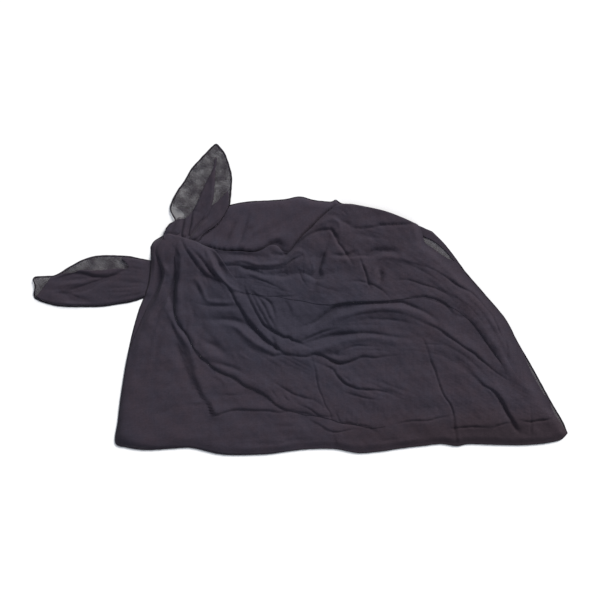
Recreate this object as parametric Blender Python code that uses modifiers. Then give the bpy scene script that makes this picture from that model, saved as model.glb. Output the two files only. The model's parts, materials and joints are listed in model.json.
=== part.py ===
"""A short sarong of sheer black voile, tied at the hip by two corners and laid out flat.

The cloth is one rectangle with rolled hems. Each stretch that shows is one closed wall: the back on
the surface, two wraps of the front on it, the swag across the top, the knot and its two free ears.
The origin is on the surface, under the middle of the piece: +X to the right, +Y to the waist, +Z up.
Plan points and heights in the tables are in millimetres.
"""
import math
from collections import namedtuple

import bmesh
import bpy
import numpy as np

MM = 0.001

# Driving sizes, in metres.
WALL = 0.0012           # cloth wall
GAP = 0.0003            # between pieces that touch
KNOT_HEIGHT = 0.0150    # the tied lump, above the cloth it lies on

# Levels that the stretches lie at, in millimetres above the surface.
STEP = (WALL + GAP) / MM
UNDER_LEVEL = STEP
OUTER_LEVEL = 2 * STEP
SWAG_LEVEL = 3 * STEP

# Where a stretch is covered by the next it lies flat. Each pair says, in millimetres from the edge
# that covers it, where its folds start and where they are whole.
BACK_BARE = (6, 20)         # from the front's waist edge
BACK_BESIDE_EAR = (7, 20)
WAIST_RIM = (2, 16)         # the back's own waist edge is flat too
UNDER_BARE = (9, 18)
OUTER_BARE = (7, 15)
EAR_RIM = (0, 8)            # in from an ear's own edges

# The upper ear steps on to the back's waist edge and then climbs to the knot: y from and to, falling.
EAR_STEP = (236, 206)
EAR_CLIMB = (168, 124)
EAR_RISE = 7.0

# The knot on plan, in millimetres.
KNOT = (-250.0, 96.0)
KNOT_RADII = (47.0, 32.0)
KNOT_PLEATS = 13
WRAP_RISE = 17.5        # how far the wraps climb over the knot
WRAP_SPREAD = 0.665     # how quickly they come down again

SMOOTH_STEPS = 10       # points between two points of a plan curve
SAMPLES = 48            # straight runs that a fold is measured along
EVEN_ROUNDS = 300       # times that a net's inner points are evened out
CHARCOAL = (0.044, 0.037, 0.048, 1.0)

# A fold's path runs on plan. Its height is in millimetres, and left and right are how far it
# spreads to each side of its run. Head and tail are its share of height at the two ends.
Fold = namedtuple("Fold", "path height left right head tail")
# A crease presses the cloth down: depth is the share of the height that it takes away.
Crease = namedtuple("Crease", "path depth width")
# The four edges of a stretch: bottom and top run to the right, left and right run up.
Sides = namedtuple("Sides", "bottom top left right")
# How many columns and rows of cells a stretch is made of.
Net = namedtuple("Net", "columns rows")

HEM = (
    (-369, -286), (-342, -295), (-304, -299), (-254, -296), (-216, -295), (-163, -307),
    (-120, -309), (-64, -307), (-18, -301), (20, -297), (70, -297), (116, -305), (160, -302),
    (200, -296), (242, -291), (282, -287), (314, -291), (340, -287), (410, -289), (467, -288),
    (517, -280), (534, -266),
)
RIGHT_SIDE = (
    (534, -266), (524, -242), (500, -201), (464, -135), (435, -85), (410, -38), (370, 10),
    (332, 54), (310, 84), (288, 112), (264, 136),
)
LEFT_SIDE = (
    (-366, -286), (-360, -240), (-355, -190), (-342, -100), (-324, -28), (-308, 13),
    (-300, 40), (-297, 72), (-298, 106),
)
BACK_WAIST = (
    (-298, 106), (-289, 119), (-262, 133), (-225, 150), (-185, 172), (-140, 189), (-102, 196),
    (-36, 200), (-1, 206), (28, 199), (69, 197), (110, 190), (171, 176), (232, 150), (264, 136),
)
# The front's waist edge, from the knot to the point where it meets the back's.
FRONT_WAIST = ((-180, 104), (-129, 97), (-94, 97), (-66, 104), (-46, 112), (-18, 101), (12, 122),
               (30, 138), (60, 167), (76, 190))
SWAG_TOP = FRONT_WAIST + ((110, 192), (171, 179), (228, 159), (238, 148))
SWAG_HEM = (
    (-126, 15), (-113, 11), (-50, 10), (-8, -4), (46, -10), (74, -14), (124, -6), (194, -5),
    (244, 3), (286, -8), (318, -28), (338, -46), (358, -68), (384, -104), (406, -138),
    (428, -168), (456, -190), (500, -203),
)
SWAG_LEFT = ((-126, 15), (-134, 34), (-148, 56), (-160, 74), (-170, 90), (-180, 104))
SWAG_RIGHT = (
    (500, -203), (462, -135), (433, -85), (408, -38), (367, 10), (326, 54), (300, 80),
    (272, 104), (250, 128), (238, 148),
)
# The long diagonal fold down the left of the upper wrap, and on along its lower edge.
OUTER_LEFT = (
    (-30, -222), (-50, -208), (-82, -186), (-113, -168), (-152, -148), (-180, -128), (-202, -100),
    (-224, -74), (-238, -54), (-248, -20), (-247, 4), (-250, 34), (-246, 64), (-246, 96),
    (-262, 124),
)
OUTER_HEM = (
    (-30, -222), (14, -231), (60, -240), (108, -256), (160, -254), (200, -248), (240, -240),
    (288, -237), (314, -250), (368, -254), (414, -246), (460, -240), (509, -232),
)
OUTER_TOP = (
    (-262, 124), (-248, 129), (-228, 123), (-206, 116), (-188, 104), (-180, 88), (-171, 72),
    (-160, 54), (-147, 34), (-136, 18), (-118, 19), (-96, 24), (-60, 26), (0, 16), (60, 6),
    (130, 12), (230, 22), (300, 8), (352, -40), (400, -100), (440, -160), (490, -190), (504, -216),
)
OUTER_RIGHT = ((509, -232), (504, -216))
# The lower wrap is a ribbon from the knot down the left side and along the hem.
UNDER_SIDE = (
    (-272, 121), (-281, 109), (-287, 92), (-280, 70), (-272, 50), (-286, 26), (-304, -12),
    (-318, -44), (-333, -78), (-345, -112), (-358, -190), (-364, -240),
)
UNDER_KNOT = ((-272, 121), (-264, 113), (-257, 103))
UNDER_TOP = (
    (-257, 103), (-252, 88), (-251, 64), (-256, 34), (-253, 4), (-249, -22), (-230, -48),
    (-200, -84), (-150, -124), (-82, -164), (0, -208), (100, -228), (200, -222), (288, -214),
    (400, -222), (516, -230),
)
UNDER_RIGHT = ((534, -266), (526, -246), (516, -230))

EAR_UP_BASE = ((-276, 128), (-264, 132), (-248, 135), (-228, 130), (-206, 123), (-186, 112))
EAR_UP_LEFT = (
    (-276, 128), (-268, 140), (-260, 151), (-249, 159), (-258, 178), (-256, 194), (-244, 218),
    (-230, 238), (-216, 262), (-200, 280), (-174, 307),
)
EAR_UP_TIP = ((-174, 307), (-167, 311), (-161, 305))
EAR_UP_RIGHT = (
    (-186, 112), (-166, 142), (-150, 166), (-141, 189), (-138, 222), (-138, 252), (-150, 290),
    (-161, 305),
)
EAR_LEFT_TOP = (
    (-532, 44), (-509, 47), (-488, 49), (-458, 67), (-430, 81), (-399, 88), (-346, 87),
    (-320, 82), (-297.6, 76),
)
EAR_LEFT_HEM = (
    (-531, 7), (-523, 0), (-503, -7), (-478, -12), (-428, -13), (-394, -12), (-360, -7), (-333, -2),
    (-310.2, 9),
)
EAR_LEFT_TIP = ((-531, 7), (-529, 28), (-532, 44))
EAR_LEFT_BASE = ((-310.2, 9), (-303.2, 30), (-299.2, 52), (-297.6, 76))

BACK_FOLDS = (
    Fold(((-164, 114), (-146, 146), (-132, 172)), 4, 8, 7, 0.8, 0.1),
    Fold(((-140, 106), (-121, 140), (-113, 172)), 5, 8, 8, 0.8, 0.1),
    Fold(((-114, 104), (-98, 132), (-88, 172)), 4, 9, 9, 0.7, 0.1),
    Fold(((-60, 122), (-28, 124), (4, 140)), 4, 14, 10, 0.4, 0.2),
)
UNDER_FOLDS = (
    # The strap from the knot, opening out down the left side.
    Fold(((-264, 60), (-266, 20), (-284, -30), (-300, -90)), 4, 9, 9, 0.4, 0.1),
    # The narrow fold that widens into the loose flap.
    Fold(((-258, -16), (-244, -52), (-230, -84), (-214, -120), (-194, -164), (-170, -200)),
         4, 10, 6, 0.6, 0.3),
    # The flap's left and lower edge.
    Fold(((-232, -92), (-216, -136), (-204, -164), (-188, -192), (-166, -216), (-134, -216),
          (-80, -215), (-40, -216)), 3, 10, 3, 0.5, 0.4),
    Fold(((-300, -40), (-318, -120), (-322, -220)), 2, 16, 16, 0.2, 0.1),
    Fold(((-330, -268), (-250, -282), (-180, -290)), 2, 10, 8, 0.2, 0.2),
    Fold(((-60, -262), (60, -272), (180, -276)), 2, 12, 10, 0.2, 0.2),
)
OUTER_FOLDS = (
    # The two ropes out of the knot, and the lower ridge that joins them.
    Fold(((-188, 100), (-182, 90), (-175, 76), (-165, 60), (-148, 36), (-129, 4), (-114, -22),
          (-96, -46), (-74, -66), (-52, -86), (-38, -102)), 9, 6, 6, 0.6, 0.3),
    Fold(((-230, 116), (-218, 97), (-206, 78), (-192, 60), (-170, 38), (-146, 8)),
         6, 5, 5, 0.5, 0.2),
    Fold(((-146, -46), (-117, -60), (-99, -76), (-76, -92), (-48, -106)), 5, 6, 7, 0.3, 0.5),
    # The broad fold down from the knot.
    Fold(((-226, 100), (-222, 60), (-218, 0), (-204, -50), (-176, -90)), 6, 18, 14, 0.3, 0.2),
    # The rim of the long diagonal.
    Fold(((-240, -20), (-228, -54), (-206, -86), (-176, -112), (-140, -138), (-84, -172),
          (-30, -206), (30, -226)), 5, 10, 4, 0.6, 0.6),
    # Fan pleats under the swag.
    Fold(((-100, 6), (-84, -28), (-66, -56)), 4, 6, 5, 0.5, 0.4),
    Fold(((-78, 6), (-60, -26), (-46, -50)), 4, 6, 5, 0.5, 0.4),
    # Bands that hang in arcs below the swag.
    Fold(((0, -72), (46, -50), (96, -32), (152, -25), (208, -28), (250, -44)),
         8, 8, 10, 0.4, 0.2),
    Fold(((-20, -96), (30, -92), (76, -80), (150, -84), (204, -92)), 6, 8, 8, 0.6, 0.1),
    Fold(((-6, -104), (30, -104), (60, -110), (84, -121), (112, -114), (180, -104)),
         4, 8, 3, 0.8, 0.2),
    Fold(((40, -122), (70, -136), (94, -158), (124, -170), (194, -186)), 4, 10, 4, 0.5, 0.1),
    Fold(((100, -178), (130, -188), (164, -196)), 2, 8, 4, 0.3, 0.2),
    # Diagonals to the right hem.
    Fold(((234, -36), (270, -50), (312, -76), (348, -104), (382, -134), (404, -150)),
         5, 10, 4, 0.4, 0.2),
    Fold(((356, -154), (388, -180), (414, -210), (434, -246)), 4, 10, 4, 0.2, 0.6),
)
SWAG_FOLDS = (
    # The overhanging lower edge, and the rim it turns into on the right.
    Fold(((-10, 6), (50, -2), (124, 2), (194, 4), (240, 8)), 7, 16, 4, 0.3, 0.7),
    Fold(((240, 12), (290, 0), (332, -26), (372, -72), (404, -120), (440, -168)),
         5, 9, 4, 0.7, 0.2),
    # The roll below the waist edge, and the arch beside it.
    Fold(((-168, 84), (-120, 80), (-70, 78), (-34, 76), (-20, 92), (2, 98), (20, 82), (30, 56)),
         5, 9, 8, 0.4, 0.3),
    Fold(((84, 178), (70, 150), (78, 120), (110, 92)), 4, 8, 10, 0.2, 0.2),
    Fold(((130, 138), (176, 146), (222, 148)), 4, 5, 12, 0.3, 0.6),
    Fold(((150, 92), (190, 84), (240, 66), (290, 34)), 4, 12, 8, 0.3, 0.2),
    Fold(((190, 42), (240, 34), (284, 14), (330, -12)), 4, 10, 6, 0.2, 0.3),
    Fold(((296, 50), (334, 28), (366, 2), (394, -34), (412, -70)), 5, 10, 6, 0.3, 0.3),
    Fold(((128, 74), (136, 44), (166, 60)), 3, 8, 8, 0.3, 0.3),
    Fold(((-100, 52), (-60, 36), (-24, 20)), 2, 10, 8, 0.3, 0.3),
)
EAR_UP_FOLDS = (
    Fold(((-224, 138), (-206, 162), (-192, 192), (-182, 222), (-176, 256), (-168, 296)),
         6, 12, 13, 0.9, 0.3),
    Fold(((-196, 128), (-172, 154), (-156, 184), (-150, 220)), 5, 8, 10, 0.9, 0.2),
    Fold(((-244, 142), (-232, 164), (-222, 190)), 5, 7, 7, 0.9, 0.2),
    Fold(((-262, 140), (-250, 164), (-246, 190)), 4, 7, 7, 0.7, 0.2),
)
EAR_LEFT_FOLDS = (
    Fold(((-312, 34), (-356, 48), (-400, 56), (-450, 58)), 5, 10, 9, 0.9, 0.2),
    Fold(((-316, 22), (-370, 20), (-430, 22), (-500, 18)), 4, 10, 12, 0.9, 0.2),
    Fold(((-310, 56), (-344, 72), (-384, 76)), 4, 8, 8, 0.8, 0.2),
)
OUTER_CREASES = (
    Crease(((-200, 90), (-188, 72), (-176, 55)), 0.8, 4),
    Crease(((-136, 10), (-126, -7), (-114, -28), (-99, -51), (-84, -71), (-60, -92)), 0.9, 5),
    Crease(((14, -80), (68, -70), (152, -68), (230, -80)), 0.7, 5),
)


def curve_along(points):
    """A function from fractions of a smooth plan curve's length to its points."""
    knots = np.array(points, dtype=float)
    knots = np.vstack([2 * knots[0] - knots[1], knots, 2 * knots[-1] - knots[-2]])
    step = np.linspace(0, 1, SMOOTH_STEPS, endpoint=False)[:, None]
    runs = []
    for before, start, stop, after in zip(knots, knots[1:], knots[2:], knots[3:]):
        linear = stop - before
        square = 2 * before - 5 * start + 4 * stop - after
        cubic = 3 * start - before - 3 * stop + after
        runs.append(0.5 * (2 * start + linear * step + square * step ** 2 + cubic * step ** 3))
    dense = np.vstack(runs + [knots[-2:-1]])
    length = np.append(0, np.cumsum(np.linalg.norm(np.diff(dense, axis=0), axis=1)))

    def at(fraction):
        reach = np.asarray(fraction) * length[-1]
        return np.column_stack([np.interp(reach, length, dense[:, axis]) for axis in (0, 1)])

    return at


def beside(spots, path):
    """Each spot's distance from a curve, positive on its left, and how far along it lies."""
    line = curve_along(path)(np.linspace(0, 1, SAMPLES + 1))
    run = np.diff(line, axis=0)
    away = spots[:, None, :] - line[None, :-1, :]
    along = np.clip((away * run).sum(axis=2) / (run ** 2).sum(axis=1), 0, 1)
    off = away - along[:, :, None] * run
    distance = np.linalg.norm(off, axis=2)
    nearest = distance.argmin(axis=1)
    row = np.arange(len(spots))
    side = run[nearest, 0] * away[row, nearest, 1] - run[nearest, 1] * away[row, nearest, 0]
    fraction = (nearest + along[row, nearest]) / SAMPLES
    return np.where(side < 0, -1, 1) * distance[row, nearest], fraction


def folded(spots, folds, creases=()):
    """The height that a table of folds and creases gives the cloth at each spot."""
    height = np.zeros(len(spots))
    for fold in folds:
        offset, along = beside(spots, fold.path)
        spread = np.where(offset > 0, fold.left, fold.right)
        share = np.interp(along, (0, 0.3, 0.7, 1), (fold.head, 1, 1, fold.tail))
        height += fold.height * share * np.exp(-(offset / spread) ** 2)
    for crease in creases:
        offset, along = beside(spots, crease.path)
        height *= 1 - crease.depth * np.exp(-(offset / crease.width) ** 2)
    return height


def ramp(value, start, stop):
    """0 before start and 1 after stop, with a smooth rise between them."""
    share = np.clip((value - start) / (stop - start), 0, 1)
    return share * share * (3 - 2 * share)


def over_knot(spots):
    """How far a wrap stands up to pass over the knot."""
    across = (spots - KNOT) / KNOT_RADII
    return WRAP_RISE * np.exp(-WRAP_SPREAD * (across ** 2).sum(axis=1))


def back_lift(spots):
    """The back lies on the surface, with soft folds where it shows above the front."""
    above_front, _ = beside(spots, FRONT_WAIST)
    above_back, _ = beside(spots, BACK_WAIST)
    left_of_ear, _ = beside(spots, EAR_UP_RIGHT)
    relief = folded(spots, BACK_FOLDS) * ramp(above_front, *BACK_BARE)
    return relief * ramp(-above_back, *WAIST_RIM) * ramp(-left_of_ear, *BACK_BESIDE_EAR)


def under_lift(spots):
    """The lower wrap lies on the back, and flat where the upper wrap covers it."""
    covered, _ = beside(spots, OUTER_LEFT[::-1] + OUTER_HEM[1:])
    relief = folded(spots, UNDER_FOLDS) * ramp(-covered, *UNDER_BARE)
    return UNDER_LEVEL + over_knot(spots) + relief


def outer_lift(spots):
    """The upper wrap lies on the lower one, and flat where the swag covers it."""
    covered, _ = beside(spots, SWAG_LEFT[::-1] + SWAG_HEM[1:])
    relief = folded(spots, OUTER_FOLDS, OUTER_CREASES) * ramp(-covered, *OUTER_BARE)
    return OUTER_LEVEL + over_knot(spots) + relief


def swag_lift(spots):
    """The swag lies over all of them."""
    return SWAG_LEVEL + over_knot(spots) + folded(spots, SWAG_FOLDS)


def ear_up_lift(spots):
    """The upper ear rests on the surface and the back's waist edge, and climbs to the knot."""
    climb = UNDER_LEVEL * ramp(spots[:, 1], *EAR_STEP) + EAR_RISE * ramp(spots[:, 1], *EAR_CLIMB)
    from_left, _ = beside(spots, EAR_UP_LEFT)
    from_right, _ = beside(spots, EAR_UP_RIGHT)
    relief = folded(spots, EAR_UP_FOLDS) * ramp(-from_left, *EAR_RIM) * ramp(from_right, *EAR_RIM)
    return climb + relief


def ear_left_lift(spots):
    """The left ear lies on the surface and gathers towards the knot."""
    return folded(spots, EAR_LEFT_FOLDS)


def patch(sides, size):
    """A net of plan points between the four edges of a stretch, one row of points per line."""
    across = np.linspace(0, 1, size.columns + 1)
    up = np.linspace(0, 1, size.rows + 1)
    bottom, top, left, right = (curve_along(side) for side in sides)
    u, v = across[None, :, None], up[:, None, None]
    ruled = (1 - v) * bottom(across) + v * top(across)
    ruled = ruled + (1 - u) * left(up)[:, None] + u * right(up)[:, None]
    low = (1 - u) * bottom([0]) + u * bottom([1])
    high = (1 - u) * top([0]) + u * top([1])
    return evened(ruled - (1 - v) * low - v * high)


def evened(net):
    """Moves a net's inner points until its lines bend evenly and none cross (Winslow's rule)."""
    for _ in range(EVEN_ROUNDS):
        du = (net[1:-1, 2:] - net[1:-1, :-2]) / 2
        dv = (net[2:, 1:-1] - net[:-2, 1:-1]) / 2
        twist = (net[2:, 2:] - net[2:, :-2] - net[:-2, 2:] + net[:-2, :-2]) / 4
        along_v = (dv ** 2).sum(axis=2, keepdims=True)
        along_u = (du ** 2).sum(axis=2, keepdims=True)
        mixed = (du * dv).sum(axis=2, keepdims=True)
        beside_u = net[1:-1, 2:] + net[1:-1, :-2]
        beside_v = net[2:, 1:-1] + net[:-2, 1:-1]
        moved = along_v * beside_u + along_u * beside_v - 2 * mixed * twist
        net[1:-1, 1:-1] = moved / (2 * (along_u + along_v))
    return net


def cloth_material(name):
    """Matt charcoal voile."""
    material = bpy.data.materials.new(name + "_voile")
    material.use_nodes = True
    shader = material.node_tree.nodes["Principled BSDF"]
    shader.inputs["Base Color"].default_value = CHARCOAL
    shader.inputs["Roughness"].default_value = 0.85
    shader.inputs["Metallic"].default_value = 0.0
    return material


def add_piece(name, net, collection):
    """Makes a named object of a bmesh, smooth, with its own cloth material."""
    mesh = bpy.data.meshes.new(name)
    net.to_mesh(mesh)
    net.free()
    mesh.shade_smooth()
    mesh.materials.append(cloth_material(name))
    piece = bpy.data.objects.new(name, mesh)
    collection.objects.link(piece)
    return piece


def lay_cloth(name, sides, net_size, lift, collection):
    """A wall of cloth between four edges, at the height that lift gives."""
    net = bmesh.new()
    bmesh.ops.create_grid(net, x_segments=net_size.columns, y_segments=net_size.rows, size=0.5)
    plan = patch(sides, net_size)
    unit = np.array([vertex.co[:2] for vertex in net.verts]) + 0.5
    place = np.rint(unit * net_size).astype(int)
    spots = plan[place[:, 1], place[:, 0]]
    for vertex, spot, height in zip(net.verts, spots, lift(spots)):
        vertex.co = (spot[0] * MM, spot[1] * MM, height * MM)
    piece = add_piece(name, net, collection)
    wall = piece.modifiers.new("wall", "SOLIDIFY")
    wall.thickness = WALL
    wall.offset = 1.0
    return piece


def tie_knot(collection):
    """The tied lump: a pleated dome with a flat underside, on the back panel."""
    net = bmesh.new()
    bmesh.ops.create_uvsphere(net, u_segments=26, v_segments=12, radius=1.0)
    for vertex in net.verts:
        turn = math.atan2(vertex.co.y, vertex.co.x)
        reach = math.hypot(vertex.co.x, vertex.co.y)
        pleat = 1 - 0.035 * reach * (1 + math.cos(KNOT_PLEATS * turn))
        x = KNOT[0] + KNOT_RADII[0] * vertex.co.x * pleat
        y = KNOT[1] + KNOT_RADII[1] * vertex.co.y * pleat
        z = UNDER_LEVEL * MM + KNOT_HEIGHT * max(vertex.co.z, 0)
        vertex.co = (x * MM, y * MM, z)
    return add_piece("knot_core", net, collection)


def build():
    """Lays out the sarong, from the surface up."""
    for leftover in list(bpy.data.objects):
        bpy.data.objects.remove(leftover, do_unlink=True)
    sarong = bpy.data.collections.new("sarong")
    bpy.context.scene.collection.children.link(sarong)

    lay_cloth("back_panel", Sides(HEM, BACK_WAIST, LEFT_SIDE, RIGHT_SIDE),
              Net(40, 20), back_lift, sarong)
    lay_cloth("front_under", Sides(UNDER_SIDE + HEM, UNDER_TOP, UNDER_KNOT, UNDER_RIGHT),
              Net(68, 10), under_lift, sarong)
    lay_cloth("front_outer", Sides(OUTER_HEM, OUTER_TOP, OUTER_LEFT, OUTER_RIGHT),
              Net(44, 26), outer_lift, sarong)
    lay_cloth("front_swag", Sides(SWAG_HEM, SWAG_TOP, SWAG_LEFT, SWAG_RIGHT),
              Net(44, 16), swag_lift, sarong)
    lay_cloth("ear_up", Sides(EAR_UP_BASE, EAR_UP_TIP, EAR_UP_LEFT, EAR_UP_RIGHT),
              Net(14, 18), ear_up_lift, sarong)
    lay_cloth("ear_left", Sides(EAR_LEFT_HEM, EAR_LEFT_TOP, EAR_LEFT_TIP, EAR_LEFT_BASE),
              Net(20, 12), ear_left_lift, sarong)
    tie_knot(sarong)


build()
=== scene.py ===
"""Looks of a short sarong of sheer black voile, tied at the hip by two corners and laid out flat.

The camera looks straight down, with +X to the right of the picture and +Y up it. Plan points,
heights and widths in the tables are in millimetres, as they are in the functions that read them.
"""
import json
import math
from collections import namedtuple

import bpy
import numpy as np
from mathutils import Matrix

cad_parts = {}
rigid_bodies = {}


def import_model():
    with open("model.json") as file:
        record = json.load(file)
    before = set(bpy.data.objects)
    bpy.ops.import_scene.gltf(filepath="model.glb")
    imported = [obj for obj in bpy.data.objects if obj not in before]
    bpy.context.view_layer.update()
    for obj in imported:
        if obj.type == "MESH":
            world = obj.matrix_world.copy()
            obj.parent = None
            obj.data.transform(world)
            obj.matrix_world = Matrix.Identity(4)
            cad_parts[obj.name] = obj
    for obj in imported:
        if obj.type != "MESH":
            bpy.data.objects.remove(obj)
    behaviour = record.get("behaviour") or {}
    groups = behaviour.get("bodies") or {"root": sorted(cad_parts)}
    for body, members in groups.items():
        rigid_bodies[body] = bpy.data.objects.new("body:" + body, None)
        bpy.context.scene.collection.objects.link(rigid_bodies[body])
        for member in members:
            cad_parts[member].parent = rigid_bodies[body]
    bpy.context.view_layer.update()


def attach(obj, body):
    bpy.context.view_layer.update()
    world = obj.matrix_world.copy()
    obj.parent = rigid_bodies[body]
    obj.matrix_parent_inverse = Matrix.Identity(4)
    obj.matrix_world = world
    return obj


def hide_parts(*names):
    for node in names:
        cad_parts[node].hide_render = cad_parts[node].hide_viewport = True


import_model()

MM = 0.001
BODY = "root"

# Cloth, in millimetres.
SHELL = 0.4             # thickness of the shells
FIRST_LEVEL = 0.3       # underside of the lowest one
UNDER_LEVEL = 1.8       # underside of the front's lower wrap
LAP = 0.45              # an upper stretch's edge above what it lies on
STEP = 1.5              # and its inside
SUNK = -0.45            # an edge that doesn't show, below the cloth it lies on
PUFF = 4.5              # how far the front stands up from its edges
BACK_PUFF = 3.0         # and the back, the upper ear and the left ear
EAR_UP_PUFF = 1.2
EAR_LEFT_PUFF = 2.6
LOWEST = -1.05          # how far a trough may sink below its stretch's level
SHOWN_LAP = 16.0        # width of the step to the inside where an edge shows
HIDDEN_LAP = 32.0       # and how much wider it is where it doesn't
TURN_RISE = 0.5         # the strip turned over on the back's edge
EAR_LAYER = 0.7         # from one layer of an ear to the next
EAR_HEM = 0.4           # an ear's hem above its lowest layer
HEM_RING = 3.0          # from one ring of a hem's tube to the next
HEM_CLEAR = 0.7         # share of its thickness that a hem's middle keeps above the floor

# The knot on plan.
KNOT = (-250.0, 96.0)
KNOT_RADII = (47.0, 32.0)
WRAP_RISE = 12.5
WRAP_SPREAD = 0.665
WRAP_EDGE = (-4, 2)     # from the front's outline, where the wrap over the knot begins
SWELL = 0.9             # the knot's left side, as a share of the wrap
SWELL_RIM = 8.0         # in from the edge, over which it swells
ROOT_LIFT = 3.4         # the back's edge above the left ear's root
FLATTENED = 0.6         # share of the folds pressed out on the knot's left
EAR_SUNK = 0.35         # share of the wrap that an ear's troughs may sink into
VALLEY = 3.0            # depth and width of the dip between the knot and the upper ear
VALLEY_WIDTH = 5.0

# Rims, over which a stretch rises from its edge.
FRONT_RIM = 6.0         # at the knot
FRONT_RIM_GAIN = 10.0   # and how much wider away from it
RIGHT_RIM_GAIN = 12.0   # and wider again towards the right corner
BACK_RIM = 10.0
BACK_STEP = 3.0         # past the front's waist edge, where the back rises to its level
EAR_UP_RIM = 9.0
EAR_LEFT_RIM = 6.0
TUCK = 8.0              # past the knot's top, where the upper ear goes under the wraps

PLUM = (0.0326, 0.0218, 0.0298, 1)
SLATE = (0.0258, 0.0236, 0.0366, 1)
BORDER_DARKER = 0.34
THREADS = 450           # scale of the weave

SMOOTH_STEPS = 10       # points between two points of a plan curve
RUN = 5.0               # length of the straight runs that a fold is measured along
FIRST_ROUNDS = 300      # times that a coarse net is evened out
LATER_ROUNDS = 40       # and each finer one
SOFT_REACH = 3.0        # spreads from its path at which a soft fold has died away
SHARP_REACH = 6.5       # and a sharp one
FADE = 2.5              # spreads past its ends at which a fold has faded
GUIDE_POINTS = 7        # of each fold in a family
WANDER = (60, 0.5)      # size and height of the waves that move a fold's path a little

# Where a ramp across the cloth runs from 0 to 1, along X and along Y.
Region = namedtuple("Region", "x y")
RIGHT_CORNER = Region((240, 340), (-240, -200))
KNOT_LEFT = Region((-240, -256), (60, 76))
OUTER_SHOWN = Region((190, 150), (96, 76))
SWAG_SHOWN = ((412, 392), (-132, -108))     # both along X
EAR_LEFT_ROOT = ((2, 16), (100, 80))        # both along Y
EAR_LEFT_START = (-300, -322)               # along X
FROM_KNOT = (60, 130)                       # away from the knot
BESIDE_SIDE = (18, 4)                       # out from the left side
EAR_UP_CLIMBS = ((STEP, 236, 206), (1.2, 180, 150))     # a rise, and two Y

# Soft uneven waves, each drawn from its own seed. Size is their usual length.
Ripple = namedtuple("Ripple", "seed size height")
FRONT_RIPPLES = (Ripple(12, 60, 0.9), Ripple(13, 26, 0.3), Ripple(14, 11, 0.14), Ripple(15, 7, 0.05))
BACK_RIPPLES = (Ripple(22, 60, 0.5), Ripple(23, 22, 0.2))
EAR_UP_RIPPLES = (Ripple(32, 25, 0.3), Ripple(33, 12, 0.1))
EAR_LEFT_RIPPLES = (Ripple(42, 30, 0.4), Ripple(43, 12, 0.1))
HEM_RIPPLE = Ripple(71, 14, 0.12)       # its height is a share of the hem's size

# A soft fold's path runs on plan. Its height is negative for a trough. Left and right are how far
# it spreads to each side of its run. Head and tail are its share of height at the two ends.
Fold = namedtuple("Fold", "path height left right head tail")
# A sharp fold is a groove with a lip beside it. Lip is the lip's height, and reach is how far it is
# from the groove: positive on the left of the run, negative on its right.
Crease = namedtuple("Crease", "path depth width lip reach head tail")
# A family is a number of sharp folds between two guide paths, each like the one given.
Family = namedtuple("Family", "first last count depth width lip reach seed")
# The four edges of a stretch: bottom and top run to the right, left and right run up.
Sides = namedtuple("Sides", "bottom top left right")
# A stretch of cloth as it was cut: its flat width, length and area in metres and square metres,
# how it is held, what it rests on, and the hems on it.
Sheet = namedtuple("Sheet", "piece width length area held rests_on hems")
# Columns and rows of the coarse net, and how many times it is halved.
Net = namedtuple("Net", "columns rows halvings")


def table(kind, *rows):
    """The rows as entries with named columns."""
    return tuple(kind(*row) for row in rows)


HEM = (
    (-369, -286), (-342, -295), (-304, -299), (-254, -296), (-216, -295), (-163, -307),
    (-120, -309), (-64, -307), (-18, -301), (20, -297), (70, -297), (116, -305), (160, -302),
    (200, -296), (242, -291), (282, -287), (314, -291), (340, -287), (410, -289), (467, -288),
    (517, -280), (534, -266),
)
RIGHT_SIDE = (
    (534, -266), (524, -242), (500, -201), (464, -135), (435, -85), (410, -38), (370, 10),
    (332, 54), (310, 84), (288, 112), (264, 136),
)
LEFT_SIDE = (
    (-366, -286), (-360, -240), (-355, -190), (-342, -100), (-324, -28), (-308, 13), (-300, 40),
    (-297, 72), (-298, 106),
)
BACK_WAIST = (
    (-298, 106), (-289, 119), (-262, 133), (-225, 150), (-185, 172), (-140, 189), (-102, 196),
    (-36, 200), (-1, 206), (28, 199), (58, 196), (66, 197), (71, 200), (77, 196), (86, 192),
    (110, 190), (171, 176), (232, 150), (264, 136),
)
FRONT_WAIST = (
    (-180, 104), (-150, 98), (-118, 97), (-96, 95), (-78, 99), (-60, 109), (-46, 108), (-34, 97),
    (-22, 95), (-12, 106), (0, 121), (10, 132), (26, 147), (42, 164), (61, 180), (78, 191),
)
SWAG_TOP = FRONT_WAIST + ((110, 190), (171, 177), (228, 154), (238, 147))
SWAG_HEM = (
    (-126, 15), (-113, 14), (-97, 12), (-70, 8), (-48, 7), (-20, 1), (4, -2), (30, -8), (60, -10),
    (84, -7), (124, -4), (171, -2), (199, 1), (244, 4), (286, -8), (312, -20), (330, -34),
    (341, -44), (354, -60), (363, -73), (375, -89), (386, -105), (397, -119), (408, -138),
    (428, -166), (456, -190), (500, -203),
)
SWAG_LEFT = ((-126, 15), (-134, 32), (-146, 50), (-158, 68), (-170, 88), (-180, 104))
SWAG_RIGHT = (
    (500, -208), (492, -195), (482, -179), (465, -149), (454, -126), (446, -107), (432, -83),
    (409, -39), (369, 9), (331, 52), (311, 75), (299, 81), (282, 91), (262, 106), (250, 114),
    (245, 130), (238, 147),
)
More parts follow.
